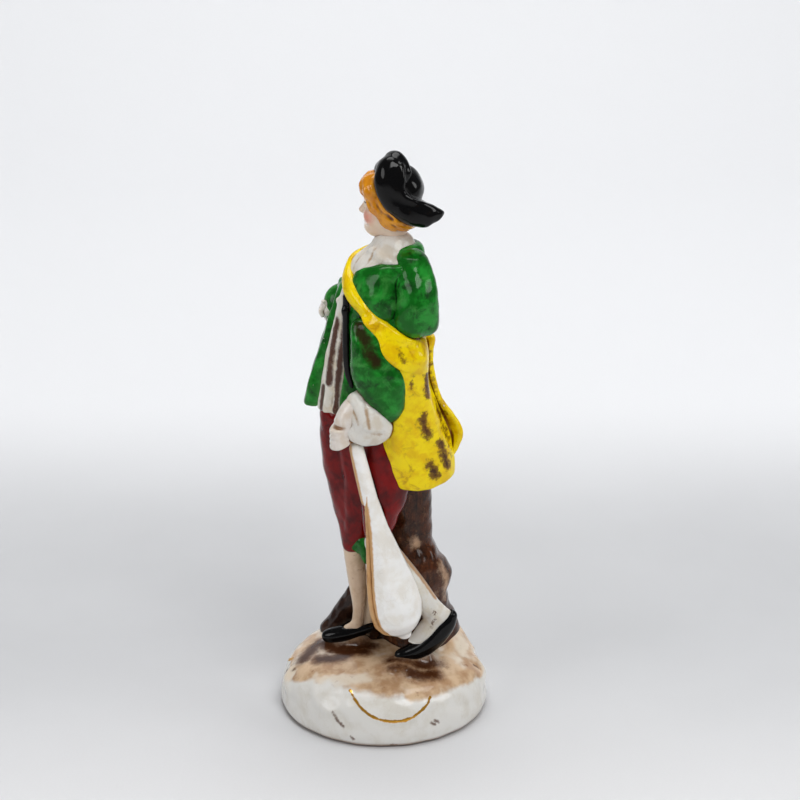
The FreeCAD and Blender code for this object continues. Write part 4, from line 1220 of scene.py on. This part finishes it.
def make_coat(green):
    clay = Clay("coat_left_front", (7, -5, 100), cell=0.26, margin=3)
    column(clay, body_line(2.3, 0.8), BODY_TURN, coat_folds)
    wedge_keep(clay, 43, 104)
    clay.ball((6.2, 0, 112.2), (6.6, 6.6, 8.9), blend=1.2)
    clay.roll([(6.4, -4.4, 117.2, 2), (8.4, 0, 118.6, 2.3), (9, 4.4, 119.8, 2.3)], blend=2, steps=8)
    clay.groove([(10.4, 4.2, 120, 0.4), (12.4, 3.6, 113, 1), (12.6, 3, 107, 0.8)], 0.7, 0.8)
    clay.roll([(6.6, -7.8, 108, 0.9), (7.2, -7.8, 100, 1), (7.8, -8.8, 92, 1.1), (7.8, -9.6, 86, 1.2),
               (7.8, -8.6, 83.4, 1.1)], blend=1.2, steps=8)
    clay.ripple(0.12, 3.6, 51)
    fire(clay, green, melt=2)

    clay = Clay("coat_right_front", (-7, -10, 100), cell=0.26, margin=3)
    column(clay, body_line(2.2, 0.6), BODY_TURN, coat_folds)
    wedge_keep(clay, -104, -24)
    curtain(clay, [
        (114, [(-1.6, -8.6), (-2.2, -9.6), (-4.4, -9.8), (-6, -10), (-8, -8)]),
        (107, [(-0.8, -10.6), (-1.6, -11.8), (-4.2, -12.2), (-7, -11.6), (-9, -8.6)]),
        (97, [(0, -13.2), (-1, -14.8), (-3.8, -15.2), (-7.6, -13.8), (-9.8, -9.6)]),
        (88, [(0.4, -15.4), (-0.6, -17.6), (-3.8, -17.9), (-8.4, -15.8), (-11, -10.6)]),
        (81.8, [(0.6, -16.6), (-0.6, -19), (-4, -19.2), (-9.2, -16.8), (-12, -11)]),
    ], 0.7, blend=1)
    clay.roll([(-2.4, -10.2, 112, 0.6), (-2, -11.8, 107, 0.7), (-1.2, -14.8, 97, 0.75),
               (-0.9, -17.6, 88.4, 0.8), (-1, -18.8, 82.6, 0.85)], blend=0.6, steps=8)
    clay.trim((-4, -16, 81.4), (0, 0.06, -1), 0.8)
    clay.ripple(0.12, 3.6, 52)
    fire(clay, green, melt=2)

    clay = Clay("coat_back", (-2, 5, 100), cell=0.28, margin=3)
    column(clay, body_line(2.2, 0.6), BODY_TURN, coat_folds)
    wedge_keep(clay, 100, 260)
    clay.groove([(-1, 11, 118, 0.6), (-1.4, 9.6, 106, 1), (-2, 9, 94, 1), (-2.4, 9.2, 82, 0.6)],
                0.5, 0.5)
    clay.ripple(0.12, 3.6, 53)
    fire(clay, green, melt=2)

    clay = Clay("coat_collar", (1, 7, 122), cell=0.2)
    column(clay, [(1, 4.6, 118.4, 6.4, 6), (1, 4.8, 122.6, 5.8, 5.4), (1, 5, 125, 5.2, 4.8)], 0, None)
    clay.groove([(6.4, 3, 122.4, 0.4), (6.8, 6, 121.8, 1), (5, 9, 121.4, 0.4)], 0.3, 0.8)
    fire(clay, green, melt=2)


def make_left_arm(green, white):
    clay = Clay("left_shoulder_puff", (9, 5, 114), cell=0.25, margin=3)

    def gathers(angle, z):
        return 0.16 * np.cos(5 * angle + 0.05 * z) * np.clip((124 - z) / 8, 0, 1)

    column(clay, [(8.6, 7.2, 104, 4.6, 5.4), (9.4, 7.7, 107, 5.7, 5.8), (9.6, 8.1, 113, 5.8, 5.2),
                  (8.8, 7.8, 118, 5, 4.9), (6.6, 7, 122.6, 3.6, 3.9), (5, 6.4, 124.6, 2.4, 2.8)],
           10, gathers)
    clay.groove([(14.4, 3.6, 105.6, 0.8), (14.8, 7.4, 105.4, 1), (12.6, 11.6, 105.2, 0.8)], 0.55, 0.5)
    clay.groove([(13.4, 9.4, 112, 0.2), (14, 9.8, 108, 1), (13.2, 10.2, 105.4, 0.6)], 0.35, 0.9)
    clay.ripple(0.1, 3, 61)
    fire(clay, green, melt=2)

    clay = Clay("left_lower_sleeve", (12, -1, 94), cell=0.25, margin=3)
    column(clay, [(12.4, 1.6, 82.4, 1.6, 1.6), (12.4, 1.2, 86, 3.6, 4), (12.4, 0, 90, 4.5, 5.8),
                  (12.2, -1, 95, 4.7, 6.8), (12, -2, 100, 4.3, 5.9), (11.4, -3.6, 105, 3.6, 4.3),
                  (11, -4.8, 108.8, 2.4, 2.8)], 0, None)
    clay.roll([(9.6, 2.6, 106, 3.6), (10.4, 2, 101, 4.2)], blend=1)
    crease = [(13.6, -6, 107.6), (15, -4.6, 105), (16, -3.4, 102), (16.6, -2, 99.6)]
    clay.groove([point + (strength,) for point, strength in zip(crease, (0.7, 1.3, 1.2, 0.3))], 1, 1.1)
    clay.groove([(16.4, 1.6, 98, 0.2), (17, 1, 93, 1), (16.6, 0, 88, 0.5)], 0.4, 1)
    clay.groove([(15.6, 4.4, 97, 0.3), (16, 4.6, 92, 1), (15, 3.4, 86, 0.3)], -0.35, 0.9)
    clay.ripple(0.12, 3, 62)
    piece = fire(clay, green, melt=2)
    # Painted shade in the sleeve's crease, along the carved groove.
    paint_lines(piece, "blotch", [crease])

    clay = Clay("left_cuff", (13, -3, 83), cell=0.2)
    clay.roll([(13, -6.6, 88.2, 2.5), (13.2, -5.2, 85.8, 3.6), (13.2, -3, 83, 4.4), (13.2, -0.9, 81.4, 3.2)],
              blend=0.8, steps=8)
    clay.roll([(13.8, -8.2, 81.2, 1.9), (14, -5.4, 79.6, 2.3), (13.9, -2, 79.2, 2), (13.6, 0.2, 80, 1.2)],
              blend=1, steps=8)
    folds = [[(15.2, -10.4, 83.4), (16.9, -7.4, 82.2), (17.5, -4, 81.4), (16.6, -0.4, 80.8)],
             [(14.6, -8.6, 88.4), (16.4, -6.8, 85.6), (17, -6.2, 82.8)],
             [(14.8, -4.6, 88.4), (16.9, -3.8, 85.6), (17.5, -3.4, 83)]]
    for fold, deep in zip(folds, (1, 0.5, 0.4)):
        clay.groove(fold, deep, 0.6)
    clay.ripple(0.12, 3, 63)
    piece = fire(clay, white, melt=2)
    # Painted shade: beige lines along the cuff's fold grooves.
    paint_lines(piece, "blotch", folds)


def make_right_arm(green, white):
    clay = Clay("right_sleeve", (-10, -4, 110), cell=0.28, margin=3)
    clay.roll([(-6.6, 3, 118.4, 3.4), (-9.6, 0.4, 113, 3.9), (-11, -2.8, 106.4, 3.7),
               (-10.4, -7.6, 104.6, 3.6), (-8.4, -11.2, 107.2, 3.4)], blend=1.2, steps=8)
    clay.roll([(-7.6, -10.6, 109, 2.6), (-6.6, -12, 106, 2.4), (-6.4, -12.6, 102.6, 1.7)], blend=1.4, steps=8)
    clay.groove([(-14.2, -1, 108, 0.3), (-13.8, -4.6, 104.8, 1), (-11.6, -8.6, 106.6, 0.4)], 0.6, 0.6)
    clay.groove([(-8.8, -5.6, 108.6, 0.4), (-7.6, -8.6, 104, 1), (-8.4, -10.4, 102.4, 0.4)], 0.5, 0.6)
    clay.ripple(0.12, 3, 64)
    fire(clay, green, melt=2)

    clay = Clay("right_cuff", (-8, -13, 106), cell=0.2)
    clay.roll([(-8.4, -11.6, 104.8, 3), (-7.8, -12.8, 105, 2.9)], blend=0.4)
    frills, ring = 7, 2.4
    for index in range(frills):
        turned = index * 2 * math.pi / frills
        centre = (-7.8 + ring * math.cos(turned), -13.6, 105 + ring * math.sin(turned))
        clay.ball(centre, (1, 0.9, 1), blend=0.5)
    fire(clay, white)


def make_hands(skin):
    clay = Clay("left_hand", (13, -8, 83), cell=0.16)
    clay.roll([(12.6, -5.6, 88.6, 2.4), (13, -7.8, 86, 2.7), (13.4, -9.4, 83, 2.6), (13.2, -10.2, 79.4, 2.3)],
              blend=0.8, steps=8)
    for index in range(4):
        up = 81.2 - index * 1.3
        clay.roll([(14.8, -8.9, up + 0.7, 0.8), (15.5, -10.7, up, 0.85), (14.4, -12.2, up - 0.4, 0.8),
                   (12.2, -12.4, up - 0.5, 0.7)], blend=0.45, steps=8)
    clay.roll([(12.6, -9, 84.6, 1.1), (12.6, -10.8, 83, 1), (13, -12, 81.4, 0.8)], blend=0.7, steps=8)
    clay.groove([(11.4, -12.2, 83.4, 0.6), (13.6, -12.4, 82.6, 1), (15.6, -10.6, 82.2, 1),
                 (16.2, -8.6, 82.4, 0.4)],
                0.6, 0.5)
    fire(clay, skin)

    clay = Clay("right_hand", (-6, -15, 107), cell=0.16)
    clay.ball((-7.2, -14, 105.6), (1.7, 1.6, 1.9), (0, 0, 20), blend=0.4)
    for index in range(4):
        side = -8.2 + index * 0.8
        clay.roll([(side, -14.4, 106.2, 0.62), (side + 0.3, -15.4, 105.2, 0.6), (side + 0.5, -15, 104, 0.55)],
                  blend=0.22)
    clay.roll([(-6.2, -14, 107, 0.65), (-5.6, -14.8, 107.6, 0.55)], blend=0.3)
    fire(clay, skin)


# ---------------------------------------------------------------- sash, ribbon, cape, collar


def make_sash(yellow):
    """Flat band laid over the clothes, from the neck over the chest to the cape."""
    clay = Clay("sash", (7, 0, 111), cell=0.27)
    column(clay, body_line(2), BODY_TURN, None)
    clothes = ("coat_left_front", "left_shoulder_puff", "left_lower_sleeve", "shirt_collar", "waistcoat")
    clay.press_on(clothes, 0.9, blend=2.4)
    clay.press_on(("cape",), 0.12)
    over_chest = [(-5, 1, 125.4, 1.5), (-3.6, -3.2, 123.6, 1.6), (-1.2, -7.2, 121.4, 1.7),
                  (1.8, -9.5, 118.8, 1.8), (5, -9.6, 116.4, 1.9), (8, -8, 113.9, 1.9), (10, -6.4, 112, 1.8)]
    over_arm = [(9, -7.2, 112.9, 1.7), (11, -5.1, 111, 1.7),
                (13, -2.2, 108.2, 1.8), (14.2, 0.8, 105.6, 2.3), (14.8, 3.8, 102.2, 3.6),
                (14.4, 7, 99.8, 4.2), (13, 9.4, 98.2, 4)]
    clay.keep_bands([(over_chest, (0.25, -0.95, 0.1)), (over_arm, (0.84, -0.48, 0.26))], 7, blend=1.2)
    clay.groove([(13.6, -2.8, 108, 0.3), (16.2, 0.4, 105, 1), (16.4, 4, 101.6, 0.8),
                 (15, 6.4, 97, 0.3)], 0.35, 0.9)
    piece = fire(clay, yellow, melt=2)
    blotches = [[(-0.6, -8.6, 121.6), (-3, -4.4, 124.4)], [(15.5, 4, 102.2), (15, 4.8, 99.4)]]
    paint_lines(piece, "blotch", blotches, 0.9)


def make_ribbon(black):
    clay = Clay("black_ribbon", (7, -9, 101), cell=0.18)
    clay.strap([(7, -8.9, 113, 0.9), (7.6, -9, 106, 0.95), (8.2, -9, 99, 0.9), (8.6, -8.6, 94, 0.9),
                (8.8, -7.6, 90.6, 0.8)], (0.8, -0.6, 0), 0.65, blend=0.3)
    clay.ball((7.3, -9.2, 109.4), (0.9, 0.9, 1.3), blend=0.4)
    clay.groove([(8.1, -9.4, 112, 1), (8.7, -9.4, 104, 1), (9, -9, 95, 1)], 0.2, 0.25)
    fire(clay, black)


def make_cape(yellow):
    clay = Clay("cape", (9, 9, 84), cell=0.25, margin=3)
    curtain(clay, [
        (103.6, [(8.6, 4.6), (10.2, 6.4), (10, 8), (8.6, 9), (5.4, 9.4)]),
        (99, [(10.4, 4), (12.4, 6.4), (11.4, 8.6), (9.4, 9.8), (5.2, 9.8)]),
        (92, [(11, 2.4), (12.6, 5.4), (11.8, 8.2), (9.6, 9.8), (5.2, 10)]),
        (84, [(10.8, 1), (12.2, 5), (11.6, 8.8), (9.6, 11.2), (5, 12.6)]),
        (76, [(10.4, 0.9), (11.8, 5.4), (11.2, 10), (9.2, 13.4), (5, 15.6)]),
        (68, [(10.2, 3.2), (11.4, 7), (10.8, 11.4), (8.6, 15), (5.4, 16.8)]),
        (63.6, [(10, 5), (10.8, 8.6), (10, 11.8), (8, 14.8), (6, 16.4)]),
    ], 1.2, blend=0.9)
    clay.ball((12, 5.4, 99), (3, 5, 3.4), blend=2)
    clay.roll([(12.8, 4.2, 98, 1.6), (12.6, 4, 91, 1.7), (12, 3.4, 84, 1.6), (11.4, 4.2, 74, 1.4)],
              blend=2, steps=8)
    clay.groove([(13.6, 7.4, 94, 0.2), (13.2, 8.4, 86, 1), (12.6, 10.4, 76, 1), (11.8, 12.4, 67, 0.5)],
                0.45, 1.6)
    clay.groove([(13.2, 4.4, 92, 0.2), (12.8, 4.6, 82, 1), (12.2, 6.8, 68, 0.5)], 0.3, 1.8)
    clay.trim((10, 14, 64.4), (0, 0.30, -0.95), 0.8)
    clay.ripple(0.12, 3, 72)
    piece = fire(clay, yellow, melt=2)
    points, _ = mesh_points(piece)
    # Brown mottles on the cape; the last line, where the cape turns into the rear fold, is painted shade in
    # that hollow.
    blotches = [
        [(10.6, 10.4, 97), (10.6, 10.6, 89)],
        [(12.6, 9.8, 83.4), (12.2, 11, 78.8)],
        [(10.4, 14.2, 76), (9.4, 15.8, 70)],
        [(11.8, 11.6, 71), (11.2, 12.8, 68)],
        [(6.6, 12.2, 85), (6.6, 14.4, 78), (6.8, 15.4, 72)],
    ]
    faint = line_distance(points, [(13.8, 7.2, 94.6), (13.2, 6.6, 90)]) + 1.2
    paint_map(piece, "blotch", np.minimum(nearest_line(points, blotches), faint))

    clay = Clay("cape_rear_fold", (4, 14, 86), cell=0.25, margin=3)
    curtain(clay, [
        (102.4, [(7.4, 8.4), (4.6, 9.4), (3.8, 10.8), (4.8, 12.2), (1.6, 11.6)]),
        (97, [(7.4, 8.6), (4.6, 9.6), (3.8, 10.4), (4.8, 11.4), (1.4, 11)]),
        (91, [(7.4, 8.6), (4.4, 9.8), (3.6, 11), (4.8, 12.3), (1, 11)]),
        (86, [(7.4, 9.6), (4.2, 11), (3.6, 12.4), (4.8, 13.8), (0.8, 11.6)]),
        (81.6, [(7.4, 11.2), (4.2, 13), (3.4, 15), (4.8, 16.8), (0.8, 13.2)]),
        (77.4, [(7.4, 12.6), (4.2, 14.8), (3.4, 17), (4.8, 19), (0.8, 14.6)]),
        (74, [(7.4, 13.4), (4.4, 15.4), (3.6, 17), (4.8, 18.4), (1, 14.8)]),
        (69.6, [(7.4, 13.8), (4.8, 14.8), (4.2, 15.4), (4.8, 16.2), (1.8, 14)]),
    ], 1, blend=0.9)
    clay.groove([(3.4, 12.2, 100, 0.2), (3.2, 12, 91, 1), (3, 15.4, 81.6, 1), (3.2, 17.2, 74, 0.6)],
                0.7, 1.1)
    clay.ripple(0.12, 3, 73)
    piece = fire(clay, yellow, melt=2)
    # Painted shade: brown in the hollow inside the rear fold.
    hollow_shade = [(5.6, 10.2, 98), (5.6, 11, 90), (5.8, 12.8, 84), (5.8, 15.4, 78), (5.6, 16, 73)]
    paint_lines(piece, "blotch", [hollow_shade])


def make_shirt_collar(white):
    clay = Clay("shirt_collar", (1, 1, 121), cell=0.22)

    def soft_folds(angle, z):
        return 0.35 * np.cos(6 * angle + 0.16 * z) * np.clip((127 - z) / 6, 0, 1)

    column(clay, [(1.8, 0.6, 115.6, 8, 7.8), (1.8, 1.2, 119.6, 7.2, 7.2), (1.2, 2.4, 123.4, 5.4, 5.8),
                  (0.8, 2.8, 127.4, 3.7, 4.2)], 0, soft_folds)
    clay.ball((2, -3.6, 119.4), (5.2, 4.4, 3.6), (24, 0, 0), blend=2.6)
    clay.roll([(4.4, -2.6, 124, 0.9), (7, 0.6, 122.2, 1.3), (8, 4, 121.4, 1.2), (6, 8, 122.6, 0.9)],
              blend=1.4)
    folds = [[(4.4, -1.2, 125.6), (6.4, -3.4, 121.4), (7.2, -5.4, 117.8)],
             [(2.6, -3, 125), (4.4, -6.4, 121.2), (5.2, -7.8, 118.4)],
             [(5.2, 1, 126), (8, -0.6, 121.8), (9.4, -1.6, 118.4)],
             [(5.6, 4.2, 125.6), (7.6, 3.6, 123.4), (8.8, 2, 121.4)]]
    for fold in folds:
        clay.groove(fold, 0.55, 0.6)
    clay.ripple(0.1, 2.8, 74)
    piece = fire(clay, white, melt=2)
    # Painted shade: beige lines along two of the collar's fold grooves.
    paint_lines(piece, "blotch", folds[:2], 0.15)


# ---------------------------------------------------------------- head, hair and hat

HEAD_CENTRE = np.array([0, 1.6, 133.6])
HEAD_TURN = math.radians(-14)
HEAD_TURNED = (0, 0, math.degrees(HEAD_TURN))
FORWARD = np.array([math.sin(HEAD_TURN), -math.cos(HEAD_TURN), 0])
SIDEWAYS = np.array([math.cos(HEAD_TURN), math.sin(HEAD_TURN), 0])


def on_head(side, forward, up, *size):
    """Point measured from the head's centre to its left, to the front and upwards, with a size."""
    return tuple(HEAD_CENTRE + SIDEWAYS * side + FORWARD * forward + np.array([0, 0, up])) + size


def head_path(points, side=1):
    """Points measured from the head's centre, mirrored where side is -1."""
    return [on_head(side * across, *rest) for across, *rest in points]


def make_head():
    clay = Clay("head_and_neck", (0, 1, 133), cell=0.14)
    clay.roll(head_path([(0.4, -1.6, -11, 3.2), (0.2, -1.2, -5, 3.1)]), blend=0.8)
    clay.ball(on_head(0, -1.4, 1.6), (5.5, 6.4, 6.2), HEAD_TURNED, blend=0.5)
    clay.ball(on_head(0, 0.8, -1.6), (4.6, 5.4, 5.8), HEAD_TURNED, blend=1.4)
    clay.ball(on_head(0, 3.4, -5.6), (2.3, 2.4, 1.9), HEAD_TURNED, blend=2)
    brow_ridge = [(0.9, 5.5, 1.7, 0.32), (1.9, 5.55, 2.1, 0.36), (3, 4.9, 1.8, 0.3)]
    upper_lid = [(1, 5.4, 1.1, 0.2), (1.9, 5.65, 1.45, 0.22), (2.8, 5, 1, 0.2)]
    lower_lid = [(1, 5.4, 0.4, 0.16), (1.9, 5.5, 0.2, 0.18), (2.7, 5, 0.5, 0.16)]
    for side in SIDES:
        clay.ball(on_head(side * 2.7, 3.6, -1.8), (1.8, 1.8, 2), HEAD_TURNED, blend=1.6)
        clay.ball(on_head(side * 1.9, 5.7, 0.9), (1.25, 1, 0.85), HEAD_TURNED, blend=0.8, carve=True)
        clay.ball(on_head(side * 1.9, 4.75, 0.85), (0.95, 0.95, 0.85), HEAD_TURNED, blend=0.15)
        for line, blend in ((brow_ridge, 0.6), (upper_lid, 0.2), (lower_lid, 0.3)):
            clay.roll(head_path(line, side), blend=blend)
        clay.ball(on_head(side * 0.62, 6.2, -1.5), (0.5, 0.6, 0.45), HEAD_TURNED, blend=0.4)
    nose = [(0, 5.5, 1.4, 0.55), (0, 6.1, 0.1, 0.55), (0, 6.9, -1.2, 0.68)]
    upper_lip = [(-1.25, 5.2, -2.95, 0.3), (0, 6, -2.8, 0.45), (1.25, 5.2, -2.95, 0.3)]
    lower_lip = [(-1.1, 5.1, -3.5, 0.3), (0, 5.85, -3.65, 0.5), (1.1, 5.1, -3.5, 0.3)]
    for line, blend in ((nose, 0.8), (upper_lip, 0.4), (lower_lip, 0.4)):
        clay.roll(head_path(line), blend=blend)
    clay.groove(head_path([(-1.4, 5.6, -2.95, 0.6), (0, 6.4, -3.25, 1), (1.4, 5.6, -2.95, 0.6)]), 0.3, 0.22)
    clay.ball(on_head(0, 5, -5.3), (1.1, 1, 0.9), HEAD_TURNED, blend=0.8)
    piece = fire(clay, face_glaze())
    brow = [(1, 6.2, 2.5), (2.1, 6, 2.95), (3.2, 5.2, 2.6)]
    lashes = [(1, 5.9, 1.25), (1.9, 6, 1.6), (2.8, 5.2, 1.3)]
    mouth = [(-1.15, 5.6, -3), (-0.4, 6.3, -3.25), (0.4, 6.3, -3.25), (1.15, 5.6, -3)]
    paint_lines(piece, "brow", [head_path(line, side) for line in (brow, lashes) for side in SIDES])
    paint_lines(piece, "mouth", [head_path(mouth)])
    points, _ = mesh_points(piece)
    for name, place in (("cheek", (3.5, 4.2, -1.9)), ("eye", (1.9, 5.75, 0.85))):
        spots = [np.linalg.norm(points - head_path([place], side), axis=1) for side in SIDES]
        paint_map(piece, name, np.min(spots, axis=0))


def face_glaze():
    """Pale skin with painted brows, eyes, lips and rosy cheeks."""
    brush, colour = start_glaze("face", (236, 214, 192), (232, 204, 180), (168, 108, 80), (244, 228, 212),
                                pool_shade=WHITE_POOL_SHADE)
    blush = brush.between(brush.plus(brush.painted("cheek"), brush.noise(1)), 0.8, 3.2, 0.75, 0)
    colour = brush.mix(blush, colour, (216, 92, 76))
    white = brush.between(brush.painted("eye"), 0.6, 0.8, 0.8, 0)
    colour = brush.mix(white, colour, (240, 236, 228))
    iris = brush.between(brush.painted("eye"), 0.42, 0.54, 1, 0)
    colour = brush.mix(iris, colour, (58, 66, 78))
    worn = brush.times(brush.noise(0.7, 3, 0.7), 0.25)
    brow = brush.between(brush.plus(brush.painted("brow"), worn), 0.26, 0.4, 0.85, 0)
    colour = brush.mix(brow, colour, (46, 28, 20))
    lips = brush.between(brush.plus(brush.painted("mouth"), worn), 0.38, 0.66, 0.8, 0)
    colour = brush.mix(lips, colour, (196, 60, 52))
    return finish_glaze(brush, colour, gloss=0.1, coat=0.2, soft=0.12)


def make_hair(ochre):
    clay = Clay("hair", (0, 2, 135), cell=0.18, margin=2.6)
    clay.ball(on_head(0, -0.8, 1.4), (6.3, 7.4, 6.9), HEAD_TURNED, blend=0.5)
    clay.ball(on_head(0, 3.2, 4.6), (5.2, 4.2, 4.2), HEAD_TURNED, blend=1.6)
    clay.ball(on_head(0, -3, -2.6), (5.8, 4.8, 3), HEAD_TURNED, blend=1.6)
    clay.trim(on_head(0, -5.4, 4.4), tuple(FORWARD * -0.8 + np.array([0, 0, 0.6])), 1)
    face_room = [(0, 8.4, -1, 4.4), (0, 6.2, -5.4, 5.2), (0, 3, -9, 6)]
    clay.roll(head_path(face_room), blend=0.8, carve=True)
    clay.trim(on_head(0, 2.2, -2.2), tuple(FORWARD * 0.80 + np.array([0, 0, -0.60])), 1)
    for side in SIDES:
        for wave, lift in enumerate((0, 1.7, 3.4)):
            clay.groove(head_path([
                (2.6, 6.6 - lift, 4.6 + lift * 0.6, 0.4),
                (4.9, 4 - lift, 1.9 + lift * 0.5, 1),
                (6.1, 2 - lift * 0.9, -0.8 + lift * 0.6, 0.7),
                (6, -0.4 - lift * 0.6, -2.6 + lift * 0.9, 1),
                (4.8, -3.6 - lift * 0.4, -3.8 + lift * 0.9, 0.5),
            ], side), 0.5 - 0.08 * wave, 0.45)
    clay.groove([on_head(0, 7, 3, 0.8), on_head(0.2, 6, 6.6, 1)], 0.4, 0.5)
    clay.ripple(0.22, 3.2, 82)
    clay.ripple(0.08, 1.4, 83)
    fire(clay, ochre)


def make_hat(black):
    clay = Clay("hat_crown", (-1, 5, 139), cell=0.22, margin=2.6)
    turned = HEAD_TURNED[2]
    clay.ball((-0.6, 3.9, 137.6), (6.2, 6.2, 5.8), (-30, 0, turned), blend=0.5)
    clay.ball((-1.2, 2, 142), (4.8, 4, 3.4), (-20, 0, turned), blend=2.4)
    clay.ball((0.6, 5.2, 139.4), (4.4, 3.6, 3.4), (-36, 0, turned), blend=2)
    clay.groove([(4.4, 6, 144.4, 0.3), (5.6, 6.6, 141, 1), (5.8, 7.4, 138, 0.6)], 0.5, 0.8)
    clay.ripple(0.2, 4, 91)
    fire(clay, black, melt=2)

    clay = Clay("hat_brim", (4, 6, 139), cell=0.2, margin=2.6)
    clay.roll([(5.4, 9.4, 132.2, 2.2), (5.6, 5.4, 133.8, 2.6), (5.4, 2.6, 136.8, 3), (4.8, 1.4, 140.6, 3.2),
               (3.6, 1.8, 143.4, 3.2), (2.6, 2.6, 145, 2.6)], blend=1)
    clay.roll([(2.4, 3.2, 145.6, 2), (3.4, 4.4, 144.6, 1.9), (3.8, 5.2, 142.8, 1.8)], blend=1.6, steps=8)
    clay.ball((5, 2, 140.6), (2.6, 3.4, 6), (8, 0, 0), blend=1.6)
    clay.roll([(3.8, 14.6, 133, 0.5), (4.6, 12.8, 132.9, 1.5), (5.4, 10.4, 132.9, 2.6),
               (5.6, 7.6, 133.9, 3.4), (5.6, 5, 136, 2.8)],
              blend=1.2)
    clay.roll([(5.6, 4.6, 144.8, 0.9), (6.8, 4.6, 142, 1), (7.4, 4.8, 138.6, 1), (7.6, 7.4, 137, 0.9),
               (6.6, 10.6, 135.6, 0.8), (5, 13.4, 133.4, 0.7)], blend=1)
    clay.groove([(5.6, 6.2, 145, 0.4), (6.4, 6.4, 141.6, 1), (6.8, 7.4, 138.6, 1), (6.2, 10.4, 137.4, 0.5)],
                0.9, 0.8)
    clay.groove([(7.6, 1.2, 140, 0.2), (8.2, 3.4, 136.8, 1), (8, 6.6, 134.2, 0.9), (7, 10.2, 132.8, 0.3)],
                0.45, 1.2)
    clay.ripple(0.16, 3.4, 92)
    fire(clay, black, melt=2)


# ---------------------------------------------------------------- floor, lights and camera


def make_floor():
    """Pale sweep that rises behind the figure without a visible corner, with painted light: lighter where it
    curves up behind and towards the front.
    """
    depth, width, height, behind, bend, steps = 1.6, 3.0, 1.4, 0.5, 0.5, 24
    section = [(depth, 0.0)]
    for step in range(steps + 1):
        angle = math.radians(90 * step / steps)
        section.append((-behind - bend * math.sin(angle), bend - bend * math.cos(angle)))
    section.append((-behind - bend, height))
    points = []
    for side in (-width / 2, width / 2):
        points += [(x, side, z) for x, z in section]
    count = len(section)
    faces = [(i, i + 1, count + i + 1, count + i) for i in range(count - 1)]
    mesh = bpy.data.meshes.new("floor")
    mesh.from_pydata(points, [], faces)
    mesh.polygons.foreach_set("use_smooth", [True] * len(faces))
    brush = Brush("paper_sweep")
    tone_and_light = brush.mix(brush.between(brush.noise(60.0, 3.0, 0.5), 0.3, 0.7), (200, 201, 203),
                     (196, 197, 199))
    across = brush.node("SeparateXYZ", {0: brush.place})
    # Painted light: the sweep is lighter where it curves up behind the figure and lighter again towards the
    # front, darker around the figure.
    tone_and_light = brush.mix(brush.between(across.outputs["X"], -0.22, -0.09, 1.0, 0.0), tone_and_light, (232, 233, 235))
    tone_and_light = brush.mix(brush.between(across.outputs["X"], -0.04, 0.10, 0.0, 1.0), tone_and_light, (226, 226, 227))
    grain = brush.between(brush.noise(0.6, 2.0, 0.6), 0.3, 0.7, 0.0, 0.06)
    tone_and_light = brush.mix(grain, tone_and_light, (190, 190, 192))
    brush.feed(brush.shader.inputs["Base Color"], tone_and_light)
    brush.shader.inputs["Roughness"].default_value = 0.75
    mesh.materials.append(brush.material)
    floor = bpy.data.objects.new("floor", mesh)
    bpy.context.scene.collection.objects.link(floor)


def add_light(name, place, aim, size, power):
    light = bpy.data.lights.new(name, "AREA")
    light.shape = "DISK"
    light.size = size
    light.energy = power
    lamp = bpy.data.objects.new(name, light)
    lamp.location = place
    lamp.rotation_euler = (Vector(aim) - Vector(place)).to_track_quat("-Z", "Y").to_euler()
    bpy.context.scene.collection.objects.link(lamp)


def light_studio(middle):
    """Soft lamps above and to both sides, and one on the sweep behind, in a pale room."""
    aim = (0, 0, middle)
    add_light("key", (0.50, 0.30, 0.80), aim, 0.45, 3.3)
    add_light("side", (0.20, 0.80, 0.40), aim, 0.35, 1.4)
    add_light("fill", (0.45, -0.70, 0.45), aim, 0.5, 2.1)
    add_light("top", (-0.05, 0.0, 0.95), aim, 0.7, 0.5)
    add_light("wall", (-0.35, 0.0, 1.1), (-1.0, 0, 0.1), 0.9, 8.0)
    world = bpy.data.worlds.new("room")
    world.use_nodes = True
    world.node_tree.nodes["Background"].inputs["Color"].default_value = (0.96, 0.97, 1.0, 1.0)
    world.node_tree.nodes["Background"].inputs["Strength"].default_value = 0.16
    bpy.context.scene.world = world
    bpy.context.scene.view_settings.view_transform = "Standard"


def place_camera():
    """Long lens at the figure's left side, looking down on it."""
    down, aside = 21.15, 0.48
    camera = bpy.data.cameras.new("camera")
    camera.lens = 96.9
    camera.sensor_width = 36.0
    eye = bpy.data.objects.new("camera", camera)
    eye.location = (0.500, 0.0, 0.277)
    eye.rotation_euler = Euler((math.radians(90 - down), 0, math.radians(90 - aside)), "XYZ")
    bpy.context.scene.collection.objects.link(eye)
    bpy.context.scene.camera = eye


def build():
    """Models the pieces in an order that puts the sash on clothes already made, then maps them."""
    green, yellow, red, black = green_glaze(), yellow_glaze(), red_glaze(), black_glaze()
    white = white_glaze()
    make_base()
    make_trunk()
    make_root()
    make_shoes(black)
    make_stockings()
    make_breeches(red)
    make_garter(green)
    make_lute()
    make_waistcoat()
    make_coat(green)
    make_left_arm(green, white)
    make_right_arm(green, white)
    make_hands(skin_glaze())
    make_shirt_collar(white)
    make_cape(yellow)
    make_sash(yellow)
    make_ribbon(black)
    make_head()
    make_hair(hair_glaze())
    make_hat(black)
    for piece, _ in PIECES.values():
        if "blotch" not in piece.data.attributes:
            paint_map(piece, "blotch", np.full(len(piece.data.vertices), FAR))
    map_crevices()
    map_bulges()


build()
make_floor()
light_studio(cad_box[1][2] / 2)
place_camera()
